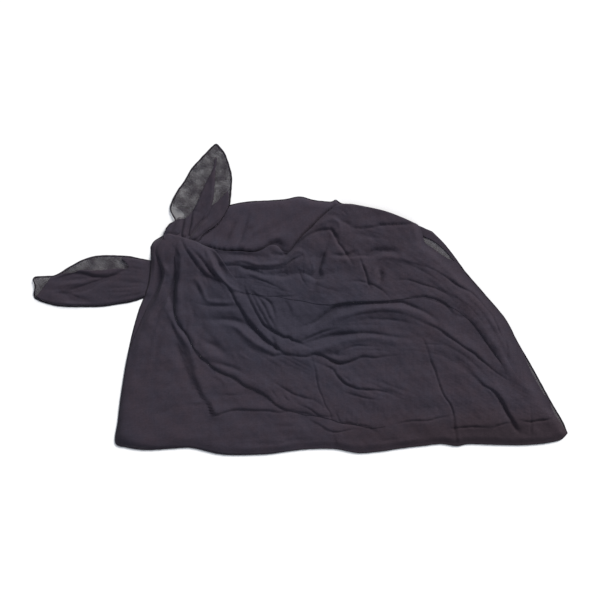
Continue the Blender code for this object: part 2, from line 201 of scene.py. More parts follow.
# The back's right edge is one layer of cloth, turned over along its top.
BACK_RIGHT = (
    (517, -280), (510, -250), (488, -206), (462, -160), (442, -122), (419, -82), (396, -40),
    (356, 8), (316, 52), (293, 78), (270, 96), (252, 110), (240, 130), (232, 150),
)
TURN_INNER = (
    (232, 146), (242, 133), (249, 125), (256, 123), (266, 118), (278, 109), (288, 101), (298, 90),
    (306, 80), (320, 66),
)
TURN_OUTER = ((240, 147), (264, 135), (281, 119), (292, 106), (310, 83), (322, 67))
OUTER_LEFT = (
    (-30, -221), (-45, -212), (-74, -189), (-106, -174), (-137, -154), (-165, -143), (-190, -120),
    (-212, -98), (-226, -70), (-234, -59), (-245, -42), (-251, -27), (-252, -8), (-250, 8),
    (-250, 34), (-249, 64), (-252, 96), (-262, 124),
)
OUTER_HEM = (
    (-30, -221), (-15, -223), (10, -230), (28, -231), (60, -238), (82, -246), (114, -250),
    (146, -256), (200, -247), (227, -241), (257, -239), (288, -237), (309, -250), (345, -253),
    (390, -253), (418, -246), (443, -241), (463, -245), (490, -241), (511, -233),
)
OUTER_TOP = (
    (-262, 124), (-248, 129), (-228, 123), (-206, 116), (-190, 108), (-172, 101), (-160, 88),
    (-148, 70), (-136, 52), (-122, 38), (-96, 30), (-60, 26), (0, 16), (60, 6), (130, 12),
    (230, 22), (300, 8), (352, -40), (400, -100), (440, -160), (490, -190), (503, -215),
)
OUTER_RIGHT = ((511, -233), (503, -215))
UNDER_SIDE = (
    (-268, 131), (-278, 120), (-285, 107), (-287, 92), (-281, 74), (-275, 55), (-280, 34),
    (-290, 12), (-304, -12), (-318, -44), (-333, -78), (-345, -112), (-358, -190), (-364, -240),
)
UNDER_KNOT = ((-268, 131), (-258, 132), (-244, 125))
UNDER_TOP = (
    (-244, 125), (-234, 104), (-231, 86), (-230, 60), (-232, 30), (-232, 4), (-228, -22),
    (-210, -48), (-182, -84), (-138, -124), (-76, -166), (0, -208), (100, -228), (200, -222),
    (288, -214), (400, -222), (511, -231),
)
UNDER_RIGHT = ((534, -266), (522, -247), (511, -231))
# Where the wraps of the knot lie over the ear that stands up.
KNOT_TOP = ((-176, 100), (-190, 108), (-206, 116), (-228, 122), (-248, 129), (-268, 131))
FRONT_OUTLINE = UNDER_SIDE + HEM + SWAG_RIGHT[:-1]

EAR_UP_BASE = ((-274, 120), (-262, 118), (-248, 118), (-230, 114), (-214, 108), (-202, 104))
EAR_UP_LEFT = (
    (-274, 120), (-274, 130), (-268, 140), (-260, 151), (-249, 159), (-258, 178), (-256, 194),
    (-244, 218), (-230, 238), (-216, 262), (-200, 280), (-174, 307),
)
EAR_UP_TIP = ((-174, 307), (-167, 311), (-161, 305))
EAR_UP_RIGHT = (
    (-202, 104), (-199, 118), (-189, 131), (-178, 139), (-166, 148), (-157, 158), (-148, 172),
    (-141, 189), (-138, 222), (-138, 252), (-150, 290), (-161, 305),
)
EAR_LEFT_TOP = (
    (-532, 44), (-509, 47), (-488, 49), (-458, 67), (-430, 81), (-399, 88), (-346, 87), (-320, 82),
    (-288, 76),
)
EAR_LEFT_HEM = (
    (-531, 7), (-523, 0), (-503, -7), (-478, -12), (-428, -13), (-394, -12), (-360, -7), (-333, -2),
    (-300, 10),
)
EAR_LEFT_TIP = ((-531, 7), (-529, 28), (-532, 44))
EAR_LEFT_BASE = ((-300, 10), (-292, 30), (-288, 52), (-288, 76))

# The stretches of the ears that are folded on themselves again.
EAR_OVER_BASE = ((-262, 119), (-248, 119), (-230, 115), (-214, 109), (-203, 106))
EAR_OVER_LEFT = (
    (-262, 119), (-260, 136), (-254, 150), (-250, 159), (-244, 164), (-233, 167), (-232, 171),
    (-238, 178), (-245, 184), (-254, 188), (-252, 204), (-243, 219), (-229, 239), (-215, 262),
    (-199, 280), (-173, 306),
)
EAR_OVER_TIP = ((-173, 306), (-167, 310), (-162, 305))
EAR_OVER_RIGHT = (
    (-203, 106), (-200, 119), (-190, 132), (-179, 140), (-167, 149), (-158, 159), (-149, 173),
    (-142, 190), (-139, 222), (-139, 252), (-151, 290), (-162, 305),
)
EAR_FOLD_BASE = ((-272, 121), (-256, 120), (-236, 117), (-218, 112))
EAR_FOLD_LEFT = (
    (-272, 121), (-271, 134), (-262, 147), (-246, 160), (-226, 165), (-209, 186), (-204, 196),
    (-197, 213), (-191, 228), (-183, 243), (-173, 264), (-169, 283),
)
EAR_FOLD_TIP = ((-169, 283), (-168, 286), (-166, 283))
EAR_FOLD_RIGHT = (
    (-218, 112), (-210, 128), (-198, 148), (-184, 168), (-176, 190), (-172, 212), (-169, 259),
    (-166, 283),
)
EAR_FLAP_BASE = ((-226, 115), (-214, 110), (-204, 107))
EAR_FLAP_LEFT = ((-226, 115), (-218, 130), (-205, 148), (-190, 169), (-176, 189))
EAR_FLAP_TOP = ((-176, 189), (-165, 197), (-154, 207), (-143, 220))
EAR_FLAP_RIGHT = (
    (-204, 107), (-201, 120), (-191, 133), (-180, 141), (-168, 150), (-159, 160), (-150, 174),
    (-143, 190), (-143, 220),
)

EAR_WRAP_HEM = (
    (-527, 6), (-503, -5), (-478, -10), (-428, -11), (-394, -10), (-360, -5), (-333, 0), (-302, 11),
)
EAR_WRAP_TOP = (
    (-498, 45), (-472, 53), (-452, 55), (-438, 60), (-418, 59), (-392, 60), (-366, 63), (-348, 62),
    (-342, 66), (-347, 73), (-356, 80), (-352, 85), (-320, 81), (-290, 75),
)
EAR_WRAP_TIP = ((-527, 6), (-512, 26), (-498, 45))
EAR_WRAP_BASE = ((-302, 11), (-294, 30), (-290, 52), (-290, 75))

FRONT_CREASES = table(
    Crease,
    # The long diagonal from the knot's big trough, and the fold that widens below it.
    (((-248, 98), (-251, 84), (-252, 66), (-252, 46), (-252, 20), (-252, 4), (-253, -17),
      (-249, -33), (-241, -51), (-233, -62), (-222, -75), (-214, -90), (-208, -100), (-200, -113),
      (-190, -121), (-182, -129), (-173, -137), (-165, -142), (-153, -148), (-137, -154),
      (-124, -162), (-112, -171), (-100, -177), (-74, -189), (-45, -212), (-15, -223), (28, -231),
      (64, -240)), 1.2, 2.6, 2.8, 7, 0.3, 0.2),
    (((-250, -62), (-245, -74), (-239, -82), (-233, -94), (-230, -106), (-224, -123), (-218, -139),
      (-212, -158), (-204, -174), (-198, -188), (-190, -200), (-182, -209), (-178, -219)),
      1.4, 2.6, 2.4, 7, 0.3, 0.9),
    (((-178, -219), (-173, -229), (-161, -229), (-153, -225), (-141, -222), (-126, -220),
      (-112, -220), (-90, -221), (-63, -221), (-40, -225), (-20, -221)),
      1.4, 2.6, 1.8, 5, 0.9, 0.3),
    # The strap's left side, and the groove across it.
    (((-279, 46), (-284, 30), (-289, 18), (-295, 6), (-302, -6), (-312, -26), (-322, -52),
      (-330, -72), (-335, -98), (-333, -115)), 3.2, 3.4, 2.4, 7, 0.8, 0.1),
    (((-251, 42), (-254, 32), (-259, 18), (-263, 7), (-268, -2), (-274, -11), (-279, -18),
      (-284, -26)), 3.2, 3.2, 1.8, 6, 0.3, 0.4),
    # The two ropes out of the knot.
    (((-232, 113), (-227, 103), (-220, 92), (-215, 83), (-209, 75), (-202, 64), (-194, 57),
      (-187, 50), (-172, 42), (-161, 40)), 2.4, 2.2, 2.8, 5, 0.6, 0.3),
    (((-217, 103), (-211, 96), (-204, 89), (-198, 83), (-191, 74), (-185, 66), (-180, 60),
      (-172, 52)), 2.6, 2.6, 1.8, 5, 0.5, 0.9),
    (((-180, 60), (-172, 52), (-167, 45), (-160, 40), (-150, 33), (-141, 23), (-135, 13), (-130, 2),
      (-124, -9), (-116, -22), (-109, -36), (-102, -47), (-91, -58), (-80, -69), (-69, -80),
      (-58, -88), (-50, -94)), 1.8, 2.4, 3.2, 7, 0.4, 0.6),
    (((-190, 98), (-190, 90), (-188, 83)), 2, 3, 0.9, 4, 0.5, 0.3),
    (((-198, -9), (-186, -12), (-167, -12), (-141, -11), (-131, -10)), 1.4, 3, 1.3, 6, 0.4, 0.3),
    (((-55, -75), (-50, -86), (-47, -99), (-46, -106)), 1.8, 3, 1.2, 5, 0.5, 0.2),
    # Below the waist edge.
    (((-168, 69), (-140, 69), (-124, 69), (-105, 64), (-87, 61), (-66, 61), (-50, 62), (-38, 63)),
      1.2, 2.8, 1.1, 5, 0.3, 0.4),
    (((-90, 43), (-71, 37), (-60, 32), (-47, 27), (-39, 22)), 1.1, 2.6, 1, 5, 0.4, 0.3),
    (((-30, 64), (-24, 71), (-14, 80), (-4, 85)), 3, 2.6, 1.4, -4, 0.6, 0.4),
    (((-50, 7), (-30, 7), (-11, 8)), 0.8, 2.4, 0.7, 4, 0.4, 0.3),
    (((-20, 97), (-10, 106), (1, 117), (14, 128), (24, 133), (40, 138), (60, 140), (67, 134)),
      2.4, 3.4, 2.6, 6, 0.6, 0.7),
    (((53, 169), (68, 170), (83, 169)), 0.9, 2.4, 0.7, 3, 0.5, 0.3),
    (((66, 133), (70, 125), (75, 114), (83, 104), (91, 93), (94, 88)), 2.1, 3.2, 1.8, -6, 0.6, 0.7),
    (((50, 98), (46, 86), (42, 75), (38, 65)), 3.2, 2.2, 1.2, 4, 0.3, 0.9),
    (((14, 50), (26, 44), (39, 41), (48, 42)), 1.8, 2.6, 1.5, -5, 0.4, 0.3),
    (((1, 51), (5, 40), (11, 32)), 1, 2.4, 0.7, 4, 0.6, 0.4),
    # Fan pleats under the swag.
    (((-106, 12), (-101, 0), (-95, -11), (-88, -25), (-80, -39), (-72, -50), (-64, -58),
      (-53, -66)), 2, 2.6, 2.5, 5, 0.6, 0.5),
    (((-94, 8), (-87, -6), (-80, -20), (-75, -28), (-69, -39), (-61, -53), (-50, -64)),
      1.6, 2.4, 1.9, 4.5, 0.6, 0.4),
    (((-87, 9), (-77, -3), (-69, -17), (-64, -28), (-55, -44), (-50, -55)),
      1.7, 2.4, 2.2, 4.5, 0.5, 0.4),
    (((-80, 7), (-66, 0), (-58, -9), (-53, -22), (-50, -36)), 1.9, 2.6, 1.8, 5, 0.5, 0.4),
    (((-62, -57), (-50, -65), (-41, -69), (-33, -75), (-22, -75), (-17, -80), (-6, -83), (5, -88)),
      2.4, 3.2, 2.4, 6, 0.5, 0.4),
    # The swag's lower edge and the arcs below it.
    (((14, -50), (30, -44), (45, -34), (58, -24), (66, -15), (80, -10), (100, -8), (120, -7),
      (145, -6), (171, -6), (194, -5), (205, -5), (217, -10), (234, -17), (246, -23), (258, -30)),
      2.2, 3.4, 2.9, 6, 0.3, 0.3),
    (((208, 0), (219, 4), (245, 7), (260, 4), (274, -1), (289, -9), (300, -20), (307, -29),
      (315, -32)), 1.6, 3.2, 1.7, 6, 0.3, 0.4),
    (((86, -40), (109, -31), (131, -27), (154, -24), (177, -23), (200, -26), (217, -33)),
      1, 2.6, 0.9, 5, 0.3, 0.3),
    (((126, -41), (137, -37), (160, -39), (183, -40), (200, -44), (217, -49)),
      0.5, 2.6, 0.5, 5, 0.3, 0.3),
    (((12, -78), (23, -73), (40, -66), (57, -61), (66, -59)), 2.4, 2.8, 1.4, 5, 0.4, 0.3),
    (((17, -84), (37, -78), (63, -71), (91, -67), (120, -66), (143, -67), (171, -70), (194, -73),
      (214, -77)), 1.4, 4, 1.4, 7, 0.4, 0.3),
    (((84, -100), (92, -97), (100, -94), (114, -91), (128, -92), (150, -92)),
      1.2, 2.6, 0.8, 5, 0.4, 0.3),
    (((-44, -110), (-30, -108), (-17, -110), (0, -112), (16, -112), (27, -108), (40, -111),
      (54, -117), (69, -124), (81, -128), (96, -125), (109, -120), (123, -114), (130, -113),
      (149, -116), (163, -114), (183, -111)), 2, 3, 2.6, 7, 0.5, 0.2),
    (((38, -127), (54, -134), (66, -140), (71, -148), (80, -158), (91, -168), (109, -175),
      (121, -178), (149, -180), (171, -184), (194, -193)), 1.7, 3, 2.2, 6, 0.3, 0.2),
    (((84, -150), (94, -158), (102, -165)), 0.9, 2.6, 0.6, 4, 0.3, 0.3),
    (((98, -187), (120, -193), (137, -196), (154, -198)), 1.3, 3, 1, 5, 0.4, 0.3),
    # Diagonals to the right hem.
    (((232, -38), (246, -46), (260, -51), (277, -59), (294, -71), (311, -83), (329, -96),
      (346, -106), (360, -119), (374, -131), (389, -143), (400, -151)), 1.6, 3, 2.3, 7, 0.3, 0.3),
    (((322, -25), (327, -30), (340, -43), (351, -57), (360, -69), (369, -83), (377, -94),
      (386, -106), (394, -117), (403, -129), (408, -139)), 0.8, 2.4, 1.2, 6, 0.2, 0.2),
    (((353, -158), (366, -170), (383, -180), (394, -191), (406, -209), (414, -226), (423, -240),
      (431, -254)), 1.8, 3.2, 1.8, 6, 0.2, 0.8),
    (((280, 52), (289, 46), (303, 36), (317, 27), (331, 20), (343, 14), (357, 0), (366, -11)),
      1.4, 2.8, 1.3, 5, 0.3, 0.4),
    (((374, -20), (383, -31), (391, -46), (397, -60), (403, -74)), 1, 2.8, 0.8, 5, 0.3, 0.2),
    (((410, -80), (412, -94), (411, -108)), 1, 3, 0.7, 5, 0.3, 0.3),
    # The swag's right half.
    (((100, 143), (118, 143), (129, 143), (146, 145), (163, 149), (186, 150), (209, 151),
      (226, 153)), 1.8, 2.6, 1.7, 5, 0.1, 0.8),
    (((103, 143), (107, 152), (111, 160)), 0.9, 2.4, 0.6, 3, 0.4, 0.4),
    (((94, 170), (90, 174), (84, 178)), 0.9, 2.2, 0.6, 3, 0.4, 0.4),
    (((84, 87), (97, 86), (118, 88), (133, 88), (143, 86)), 1.3, 3, 1.2, -5, 0.5, 0.3),
    (((121, 78), (126, 66), (131, 54), (135, 40), (137, 34)), 2.2, 2.4, 1.2, 4, 0.4, 0.9),
    (((97, 37), (117, 37), (134, 34), (146, 30), (157, 23), (166, 17), (174, 9), (180, 1)),
      1, 2.6, 0.9, 5, 0.3, 0.4),
    (((189, 39), (209, 40), (226, 37), (243, 31), (266, 24), (283, 16), (297, 9)),
      1, 2.6, 0.9, 5, 0.3, 0.3),
    (((194, 80), (211, 76), (229, 71), (246, 67), (266, 60), (277, 54)),
      0.5, 2.4, 0.5, 5, 0.3, 0.2),
    # Soft diagonals, lines along the hem and small wrinkles.
    (((-54, -161), (-35, -175), (-12, -188), (10, -196), (26, -199), (42, -209)),
      1.1, 3.2, 1.3, 6, 0.3, 0.3),
    (((-32, -190), (-28, -196), (-22, -202)), 0.9, 2.6, 0.6, 4, 0.3, 0.3),
    (((-58, -179), (-46, -195)), 0.9, 2.6, 0.6, 4, 0.3, 0.3),
    (((0, -209), (19, -218), (37, -230), (58, -233)), 1.1, 2.6, 1.1, 4, 0.3, 0.5),
    (((60, -227), (62, -238)), 1, 2.2, 0.4, 3, 0.6, 0.4),
    (((23, -242), (41, -251), (55, -260), (73, -264), (91, -261), (106, -259)),
      1.3, 2.6, 1.2, 4, 0.3, 0.3),
    (((76, -236), (82, -246), (96, -246), (114, -250), (132, -251), (148, -260)),
      1.4, 2.6, 1.3, 4, 0.5, 0.4),
    (((200, -246), (227, -241), (257, -240), (272, -237), (289, -234)), 1.7, 2.6, 1.1, 4, 0.4, 0.5),
    (((311, -256), (345, -253), (370, -254)), 1.8, 2.6, 1.1, 4, 0.6, 0.4),
    (((390, -253), (404, -248), (414, -246)), 1.8, 2.6, 1.1, 4, 0.5, 0.5),
    (((443, -241), (460, -244), (477, -241), (497, -238), (504, -230)), 2.2, 2.8, 1.2, 4, 0.4, 0.7),
    (((-287, -182), (-281, -205)), 0.8, 2.6, 0.6, 4, 0.3, 0.3),
    (((-154, -189), (-122, -189)), 0.8, 2.6, 0.6, 4, 0.3, 0.3),
    (((-222, -208), (-192, -210)), 0.8, 2.6, 0.6, 4, 0.3, 0.3),
    # Sharp lines left by the packaging.
    (((-182, -232), (-182, -298)), 0.9, 1.8, 0.6, 3, 0.6, 0.6),
    (((24, -118), (27, -131), (31, -140), (33, -157), (37, -177), (43, -191), (50, -209),
      (58, -222)), 1.2, 2, 0.8, 3, 0.5, 0.6),
    (((69, -274), (74, -291)), 1, 1.8, 0.6, 3, 0.6, 0.5),
    (((247, -81), (254, -97), (260, -120), (269, -141), (277, -166), (287, -191), (300, -209),
      (306, -229), (308, -251), (311, -270), (314, -286)), 1.8, 2, 1, 3, 0.4, 1),
    (((460, -216), (461, -244), (461, -282)), 1, 2, 0.6, 3, 0.4, 0.4),
    (((250, -89), (284, -89)), 0.7, 1.8, 0.4, 3, 0.5, 0.3),
    (((-194, -16), (-194, -80)), 0.5, 2, 0.3, 3, 0.4, 0.3),
)
FRONT_FOLDS = table(
    Fold,
    # The knot's big trough, and the ridges on both sides of it.
    (((-247, 97), (-249, 80), (-249, 60), (-249, 40), (-251, 20), (-253, 4), (-253, -16)),
      -4.4, 6.5, 6.5, 0.5, 0.5),
    (((-267, 112), (-273, 102), (-276, 90), (-274, 78), (-270, 68), (-265, 58)), 2, 4, 7, 0.4, 0.3),
    (((-269, 54), (-272, 38), (-278, 22), (-285, 8), (-295, -10), (-307, -32), (-318, -58)),
      3.2, 5, 7, 0.5, 0.1),
    (((-254, 34), (-257, 18), (-259, 4), (-257, -10)), -5, 7, 6, 0.4, 0.3),
    (((-246, 104), (-240, 96), (-236, 84), (-238, 66), (-241, 46), (-243, 20), (-243, 0),
      (-241, -24)), 3, 8, 3, 0.4, 0.3),
    # Beside the long diagonal.
    (((-265, -21), (-253, -43), (-243, -62), (-233, -74), (-224, -90), (-218, -106), (-212, -123)),
      2.6, 3.5, 4, 0.3, 0.3),
    (((-246, -80), (-239, -104), (-232, -124), (-224, -146), (-214, -168), (-203, -186)),
      -3.8, 4, 11, 0.4, 0.3),
    (((-226, -39), (-227, -50), (-228, -61)), -2.9, 3, 3, 0.4, 0.7),
    (((-213, -17), (-213, -26), (-212, -35)), -1.8, 3, 3, 0.4, 0.4),
    (((-203, -76), (-205, -88), (-200, -97)), -3.4, 5, 4, 0.5, 0.4),
    (((-188, -83), (-172, -92), (-160, -101)), -3.2, 6, 5, 0.5, 0.3),
    (((-190, -100), (-172, -110), (-152, -118)), 1.8, 6, 6, 0.3, 0.3),
    (((-182, -122), (-165, -127), (-148, -132), (-130, -138), (-112, -147)), -3.1, 5, 5, 0.4, 0.2),
    (((-133, -106), (-129, -116)), 1.5, 2.5, 2.5, 0.5, 0.5),
    (((-114, -110), (-103, -117)), 1.3, 2.5, 2.5, 0.5, 0.5),
    (((-172, -151), (-157, -157), (-145, -169)), 1.6, 3, 3, 0.4, 0.3),
    # Round the ropes.
    (((-190, 104), (-185, 100), (-179, 90), (-175, 80), (-171, 69), (-165, 57), (-158, 46),
      (-149, 35), (-138, 25), (-128, 20)), 4.6, 3, 6, 0.5, 0.4),
    (((-179, 99), (-172, 88), (-165, 76), (-159, 66)), -6.6, 8, 6, 0.6, 0.7),
    (((-200, 54), (-196, 49), (-188, 46), (-178, 42)), -2.2, 4, 6, 0.6, 0.5),
    (((-204, 72), (-203, 58), (-205, 46)), 1.6, 3, 4, 0.4, 0.4),
    (((-222, 36), (-214, 41), (-206, 40), (-200, 32), (-195, 20), (-191, 8), (-184, -2), (-170, -4),
      (-150, -4), (-134, -3)), 2.8, 4, 4, 0.3, 0.2),
    (((-212, 30), (-205, 26), (-201, 14), (-198, 2)), -1.7, 3, 5, 0.4, 0.3),
    (((-184, -20), (-150, -21), (-120, -25)), 1.4, 6, 6, 0.3, 0.4),
    (((-180, -40), (-150, -40), (-125, -43), (-106, -50)), -5, 7, 7, 0.4, 0.5),
    (((-109, -36), (-95, -54), (-80, -69), (-66, -82), (-54, -91)), -4.4, 4, 9, 0.3, 0.6),
    (((-146, -48), (-127, -55), (-105, -72), (-88, -86), (-72, -95), (-55, -102)),
      3.7, 5, 6, 0.4, 0.5),
    (((-90, -98), (-70, -107), (-50, -112)), -2, 5, 5, 0.3, 0.4),
    (((-134, 18), (-120, 14), (-108, 11)), -2.3, 4, 4, 0.5, 0.3),
    # The roll below the waist edge and the arch at its end.
    (((-150, 92), (-118, 89), (-90, 87), (-62, 86)), -2.9, 6, 6, 0.5, 0.3),
    (((-166, 76), (-140, 77), (-113, 79), (-87, 71), (-66, 71), (-47, 72), (-34, 75), (-26, 83),
      (-18, 93), (-7, 98), (3, 97), (9, 90), (12, 78)), 3.2, 4.5, 4.5, 0.3, 0.3),
    (((-122, 65), (-104, 62), (-92, 58), (-82, 54)), -3.6, 3.5, 4, 0.1, 0.6),
    (((-106, 52), (-92, 49), (-76, 45)), 1.6, 4, 4, 0.4, 0.3),
    (((-48, 113), (-43, 110), (-38, 105), (-33, 98)), -3.9, 5, 5, 0.7, 0.7),
    (((-44, 90), (-34, 89), (-24, 94)), -4.2, 5, 5, 0.6, 0.6),
    (((-50, 49), (-36, 48), (-22, 50)), -6.5, 10, 5, 0.5, 0.6),
    (((47, 96), (42, 84), (39, 70), (36, 58), (34, 50)), -5.8, 6, 10, 0.3, 0.9),
    (((25, 48), (37, 47), (49, 50)), -5, 9, 5, 0.5, 0.5),
    (((22, 76), (27, 64), (26, 54)), 1.4, 3, 3, 0.4, 0.4),
    (((8, 130), (19, 143), (40, 153), (61, 161), (72, 159), (79, 151), (79, 141), (70, 134)),
      2.5, 4.5, 4.5, 0.3, 0.5),
    (((82, 158), (92, 153), (101, 148)), -2.1, 4, 4, 0.5, 0.3),
    (((72, 90), (84, 89), (97, 91), (103, 93)), -3.4, 4, 4.5, 0.4, 0.7),
    # The arcs.
    (((44, -34), (58, -24), (72, -17), (90, -15), (112, -12)), -5, 6, 8, 0.4, 0.3),
    (((18, -70), (30, -52), (48, -36), (60, -26)), -4.4, 8, 8, 0.3, 0.6),
    (((14, -63), (29, -55), (49, -47), (69, -37), (94, -29), (120, -21), (149, -16), (177, -15),
      (200, -17), (223, -23), (243, -31), (263, -46), (280, -57)), 5.6, 6, 13, 0.3, 0.1),
    (((20, -82), (44, -78), (66, -73), (96, -69), (126, -68)), -4.4, 10, 6, 0.6, 0.2),
    (((0, -98), (29, -100), (51, -94), (74, -86), (97, -79), (123, -75), (149, -76), (171, -79),
      (200, -84)), 4.2, 5, 9, 0.4, 0.1),
    (((65, -109), (78, -109)), -5, 7, 5, 0.6, 0.6),
    (((52, -118), (68, -124), (82, -127), (98, -123), (114, -117)), -2.6, 4, 5, 0.3, 0.3),
    # The swag's right half.
    (((115, 132), (133, 128), (160, 125)), -1.8, 6, 6, 0.3, 0.3),
    (((133, 82), (139, 90), (150, 96), (166, 98), (184, 95), (202, 91)), -5, 8, 6, 0.6, 0.2),
    (((139, 86), (150, 92), (163, 96)), -3.6, 9, 7, 0.6, 0.4),
    (((152, 62), (156, 76), (167, 87), (186, 91), (208, 87), (232, 78)), 1.2, 4, 10, 0.3, 0.2),
    (((140, 38), (148, 51), (156, 63), (160, 77)), 2.2, 4, 4, 0.4, 0.3),
    (((158, 60), (159, 46), (155, 33)), -6, 7, 5, 0.5, 0.6),
    (((137, 44), (142, 56)), -2.2, 2.6, 2.6, 0.6, 0.4),
    (((150, 84), (200, 86), (250, 66), (300, 32)), 1, 14, 10, 0.3, 0.2),
    (((190, 56), (240, 48), (290, 24), (336, -10)), 1, 10, 8, 0.3, 0.2),
    # The diagonals.
    (((337, -23), (357, -46), (374, -69), (389, -89), (400, -106), (411, -129), (423, -146),
      (434, -163), (444, -172)), 1.7, 6, 7, 0.3, 0.5),
    (((388, -186), (404, -208), (414, -228), (426, -248)), -2.6, 3, 5, 0.4, 0.6),
    (((280, 60), (320, 34), (356, 4), (384, -30)), 0.8, 8, 6, 0.3, 0.3),
    # Along the hem.
    (((-283, -170), (-268, -172), (-253, -166)), -1.6, 6, 6, 0.4, 0.4),
    (((-296, -228), (-276, -226), (-259, -220)), -1.6, 6, 6, 0.4, 0.4),
    (((-337, -271), (-305, -275), (-283, -281), (-242, -279), (-182, -290)), -1, 4, 4, 0.3, 0.3),
    (((-42, -251), (-11, -251)), -1, 4, 4, 0.3, 0.3),
    (((-117, -289), (-72, -287), (-38, -287), (-13, -280), (32, -280)), -1, 4, 4, 0.3, 0.3),
    (((157, -282), (200, -278)), -1, 4, 4, 0.3, 0.3),
    (((296, -245), (340, -247), (380, -245), (424, -238), (462, -232), (500, -222)),
      2.2, 16, 10, 0.4, 0.4),
    (((428, -254), (445, -264), (461, -270)), -2.4, 10, 8, 0.5, 0.4),
)
FRONT_FAMILIES = table(
    Family,
    (((-236, 112), (-216, 84), (-200, 52), (-194, 20)), ((-206, 106), (-184, 76), (-158, 38),
      (-138, 4)), 3, 0.4, 2.6, 0.7, 5, 1),
    (((-268, 70), (-276, 10), (-300, -60), (-318, -150)), ((-254, 20), (-262, -30), (-276, -100),
      (-292, -190)), 4, 0.5, 3.4, 0.9, 7, 2),
    (((-238, 60), (-232, 0), (-208, -60), (-170, -104)), ((-212, 16), (-200, -34), (-164, -84),
      (-112, -132)), 5, 0.3, 3.4, 0.4, 7, 3),
    (((-70, 2), (-50, -20), (-36, -50)), ((-20, 0), (-10, -26), (-14, -60)),
      4, 0.5, 2.8, 0.7, 5, 4),
    (((100, -34), (150, -30), (206, -34), (250, -50)), ((84, -60), (150, -60), (210, -66),
      (256, -80)), 4, 0.3, 2.8, 0.4, 6, 5),
    (((100, -84), (150, -84), (214, -92)), ((96, -108), (150, -104), (226, -110)),
      3, 0.4, 3, 0.6, 6, 6),
    (((250, 22), (310, -6), (350, -50), (394, -120)), ((326, 36), (380, -14), (418, -78),
      (454, -150)), 4, 0.4, 3.2, 0.6, 7, 7),
    (((190, -104), (270, -110), (336, -150), (392, -214)), ((232, -50), (300, -84), (360, -130),
      (424, -204)), 5, 0.4, 3.4, 0.8, 7, 8),
    (((150, 104), (204, 96), (262, 66), (322, 14)), ((172, 60), (222, 50), (272, 24), (322, -20)),
      4, 0.3, 3.2, 0.4, 7, 9),
    (((-156, 62), (-100, 52), (-36, 46)), ((-134, 26), (-80, 26), (-16, 12)),
      4, 0.4, 3, 0.6, 6, 10),
    (((-16, 80), (20, 60), (60, 34)), ((0, 20), (40, 12), (90, 4)), 4, 0.4, 3, 0.7, 6, 11),
    (((96, 128), (150, 118), (200, 116)), ((100, 172), (160, 160), (224, 140)),
      4, 0.4, 3, 0.6, 6, 12),
    (((-120, -90), (-60, -130), (0, -160)), ((-90, -60), (-20, -110), (60, -150)),
      4, 0.4, 3.2, 0.7, 7, 14),
    (((60, -150), (110, -190), (170, -210)), ((110, -140), (160, -160), (230, -190)),
      4, 0.4, 3, 0.6, 6, 15),
    (((-236, -40), (-246, -100), (-240, -180)), ((-226, -80), (-200, -150), (-176, -206)),
      3, 0.4, 3.2, 0.7, 7, 16),
)
BACK_CREASES = table(
    Crease,
    # Above the front's waist edge, where the back bulges over it.
    (((-181, 105), (-168, 99), (-144, 97), (-118, 97), (-96, 94), (-78, 99), (-60, 110), (-46, 117),
      (-36, 113)), 0.8, 3.5, 4, 7, 0.6, 0.4),
    (((-28, 93), (-17, 100), (-9, 112), (-1, 120), (10, 132), (26, 147), (42, 164), (61, 180),
      (79, 189)), 0.8, 3, 3.2, 6, 0.4, 0.3),
    (((-146, 178), (-156, 160), (-168, 148), (-186, 134), (-203, 118)), 3, 5, 0.4, -8, 0.5, 0.4),
    # The fan out of the knot.
    (((-154, 113), (-145, 125), (-137, 140), (-131, 150), (-126, 160)),
      3.4, 3.2, 3.2, -7, 0.7, 0.3),
    (((-121, 119), (-115, 133), (-108, 151), (-104, 164)), 3.2, 4, 2.6, -7, 0.6, 0.2),
    (((-186, 110), (-176, 122), (-166, 134)), 2, 3.2, 2.2, -6, 0.6, 0.3),
    (((-88, 112), (-70, 122), (-44, 130)), 0.8, 3, 1, 6, 0.4, 0.2),
)
BACK_FOLDS = table(
    Fold,
    (((-52, 113), (-45, 113), (-38, 107)), -4.4, 5, 5, 0.5, 0.7),
    (((-130, 112), (-100, 106), (-76, 116), (-52, 128), (-30, 128)), 1.8, 7, 7, 0.3, 0.2),
    (((-74, 146), (-97, 130), (-111, 114), (-124, 104)), 3, 5, 5, 0.3, 0.6),
    (((-92, 146), (-104, 138), (-112, 126)), -2.8, 4, 5, 0.3, 0.5),
    (((-64, 120), (-36, 126)), 1.6, 5, 5, 0.4, 0.4),
    (((-30, 130), (0, 152), (34, 182)), 1.2, 12, 8, 0.4, 0.2),
    (((-60, 150), (0, 170), (60, 190)), -0.8, 10, 10, 0.3, 0.3),
)
BACK_FAMILIES = table(
    Family,
    (((-176, 112), (-156, 140), (-140, 172)), ((-100, 104), (-80, 134), (-60, 176)),
      4, 0.4, 3.2, 0.8, 6, 21),
    (((-110, 112), (-50, 132), (10, 168)), ((-100, 140), (-50, 160), (20, 190)),
      4, 0.4, 3, 0.7, 6, 22),
)
